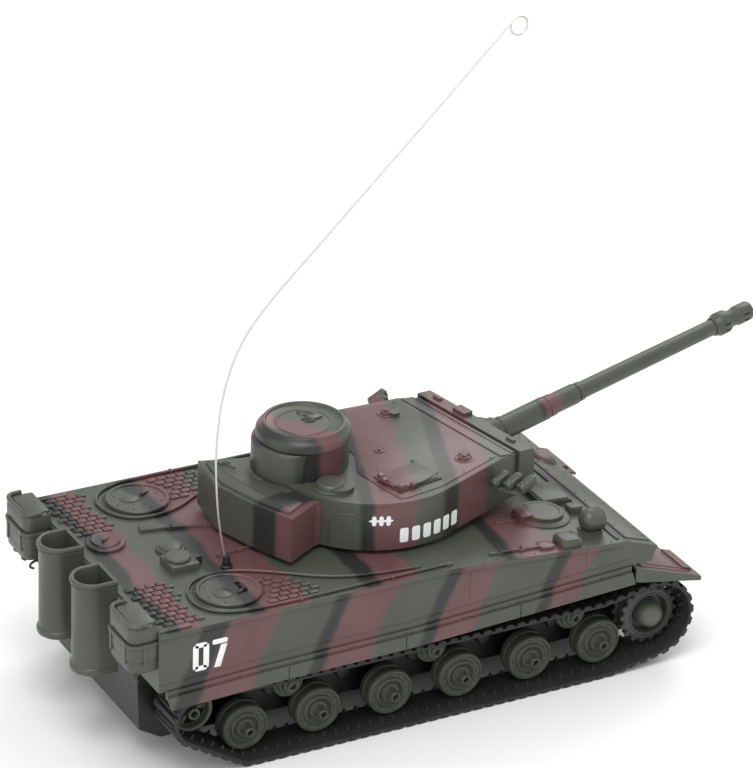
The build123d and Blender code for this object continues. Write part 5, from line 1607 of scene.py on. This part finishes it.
class TANK_OT_gun(bpy.types.Operator):
    """Gun: stepped sleeve, long barrel and two-chamber muzzle brake; plus the mantlet's rivets."""

    bl_idname = "tank.gun"
    bl_label = "Gun and mantlet"

    def execute(self, context):
        trunnion_along = 61.5 / math.cos(GUN_PITCH)
        end = 229.0 - trunnion_along
        brake = 206.0 - trunnion_along
        collars = [turned([(7.05, 4.2), (7.3, 4.6), (7.3, 7.8), (7.05, 8.2)], GUN, 48),
                   turned([(5.35, 14.2), (5.75, 14.6), (5.75, 16.4), (5.35, 16.8)], GUN, 48),
                   turned([(4.75, 103.6 - trunnion_along), (5.1, 104.0 - trunnion_along),
                           (5.1, 107.4 - trunnion_along),
                           (4.75, 107.8 - trunnion_along)], GUN, 48),
                   turned([(3.95, 121.8 - trunnion_along), (4.4, 122.1 - trunnion_along),
                           (4.4, 124.6 - trunnion_along),
                           (3.95, 125.0 - trunnion_along)], GUN, 48)]
        collars.append(rivets([(a, b, 15.6) for a, b in ring_of(8, 5.5)], 0.3, 0.2, GUN))
        piece("gun_collars", join(*collars), finish("gun_paint"), "gun", smooth=38)
        section = [(2.3, brake), (4.25, brake), (4.6, brake + 1.2), (5.1, brake + 2.4),
                   (5.5, brake + 3.2), (5.5, brake + 7.8),
                   (5.1, brake + 8.8), (4.05, brake + 10.0), (4.0, end - 9.8), (4.35, end - 8.8),
                   (4.6, end - 8.0), (4.6, end - 0.9),
                   (4.3, end - 0.2), (2.9, end), (2.4, end - 0.4)]
        body = turned(section, GUN, 56, closed=True)
        # Near-black plates set flush in the brake's side openings: painted shade standing in for the holes'
        # dark insides
        port_shade_plates = []
        for side in (1, -1):
            for along, radius in ((brake + 5.5, 5.38), (end - 4.6, 4.48)):
                face = Place(GUN.put([side * (radius - 0.28), 0, along]), GUN.z, GUN.x * side)
                port_shade_plates.append(slab(rounded([(-1.7, -2.0), (1.7, -2.0), (1.7, 2.0), (-1.7, 2.0)],
                                            1.1, 4), -0.5, 0.3, 0.02, face, 0))
        piece("muzzle_brake_body", body, finish("gun_paint"), "gun", "muzzle_brake", smooth=38)
        piece("muzzle_port_painted_shade", join(*port_shade_plates), finish("painted_shade_black"), "gun")
        # Near-black lining and a disc 0.6 mm inside the muzzle: painted shade of the deep bore
        bore = turned([(2.32, brake + 1), (2.32, end - 0.6), (0.3, end - 0.6)], GUN, 32)
        piece("muzzle_bore_painted_shade", bore, finish("painted_shade_black"), "gun")
        face = Place(TURRET.put([66.0, 0, 0]), TURRET.y, TURRET.x)
        spots = [(a, b, -0.15) for a in (-31.5, 31.5) for b in (80.5, 87.5, 94.5)]
        spots += [(a, b, -0.15) for a in (-21.5, 21.5) for b in (80.0, 95.2)]
        mantlet = [rivets(spots, 0.6, 0.15, face)]
        for a in (-24.0, 24.0):
            mantlet.append(turned([(3.2, -0.3), (3.2, -0.1), (2.8, 0.0), (1.4, 0.0), (1.2, -0.2)],
                                  face.at(a, 87.6), 28))
        top = TURRET.at(61.5, 0, 98.2)
        mantlet += [brick((3.2, 7.6, 1.7), top.at(0, 9.0), 0.4, 1.0),
                    brick((2.4, 5.0, 1.2), top.at(0, -24.0), 0.3, 0.8),
                    brick((2.4, 5.0, 1.2), top.at(0, 26.0), 0.3, 0.8)]
        piece("mantlet_bolts", join(*mantlet), finish("turret_paint"), "turret")
        return {"FINISHED"}


class TANK_OT_belly(bpy.types.Operator):
    """Moulded ribs on the underside and grip marks on the battery door."""

    bl_idname = "tank.belly"
    bl_label = "Underside"

    def execute(self, context):
        base = Place((0, 0, BELLY), (1, 0, 0), (0, 0, -1))
        parts = [slab(rounded([(x, -34), (x + 1.2, -34), (x + 1.2, 34), (x, 34)], 0.4, 2), -0.1,
                      0.5, 0.2, base, 0)
                 for x in (14, 26, 38, 88, 100, 110, -98, -90, -82, -74)]
        parts += [rivets([(x, y, 0) for x in (-104, 114) for y in (-30, -10, 10, 30)], 0.9, 0.5,
                         base)]
        piece("belly_ribs", join(*parts), finish("chassis_black"), "hull", None)
        return {"FINISHED"}


class TANK_PT_panel(bpy.types.Panel):
    """Lists the steps in the sidebar."""

    bl_label = "Tank"
    bl_idname = "TANK_PT_panel"
    bl_space_type = "VIEW_3D"
    bl_region_type = "UI"
    bl_category = "Tank"

    def draw(self, context):
        for step in STEPS:
            self.layout.operator(step.bl_idname)
        for group in (context.scene.tank_paint, context.scene.tank_sizes):
            for name in group.bl_rna.properties.keys():
                if name not in {"rna_type", "name"}:
                    self.layout.prop(group, name)


STEPS = (TANK_OT_finishes, TANK_OT_stage, TANK_OT_antenna, TANK_OT_tow_cables, TANK_OT_tracks,
         TANK_OT_road_wheels,
         TANK_OT_return_rollers, TANK_OT_sprockets, TANK_OT_idlers, TANK_OT_deck_grilles,
         TANK_OT_fan_covers,
         TANK_OT_exhausts, TANK_OT_air_filters, TANK_OT_deck_tools, TANK_OT_hull_trim,
         TANK_OT_rear_plate,
         TANK_OT_guards, TANK_OT_headlight, TANK_OT_stencils, TANK_OT_turret_markings,
         TANK_OT_turret_roof,
         TANK_OT_cupola, TANK_OT_stowage_bin, TANK_OT_smoke_launchers, TANK_OT_gun, TANK_OT_belly)
CLASSES = (TankPaint, TankSizes, *STEPS, TANK_PT_panel)


def register():
    for cls in CLASSES:
        bpy.utils.register_class(cls)
    bpy.types.Scene.tank_paint = PointerProperty(type=TankPaint)
    bpy.types.Scene.tank_sizes = PointerProperty(type=TankSizes)


def unregister():
    del bpy.types.Scene.tank_paint
    del bpy.types.Scene.tank_sizes
    for cls in reversed(CLASSES):
        bpy.utils.unregister_class(cls)


def main():
    register()
    for step in STEPS:
        group, name = step.bl_idname.split(".")
        getattr(getattr(bpy.ops, group), name)()
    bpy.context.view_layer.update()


if __name__ == "__main__":
    main()
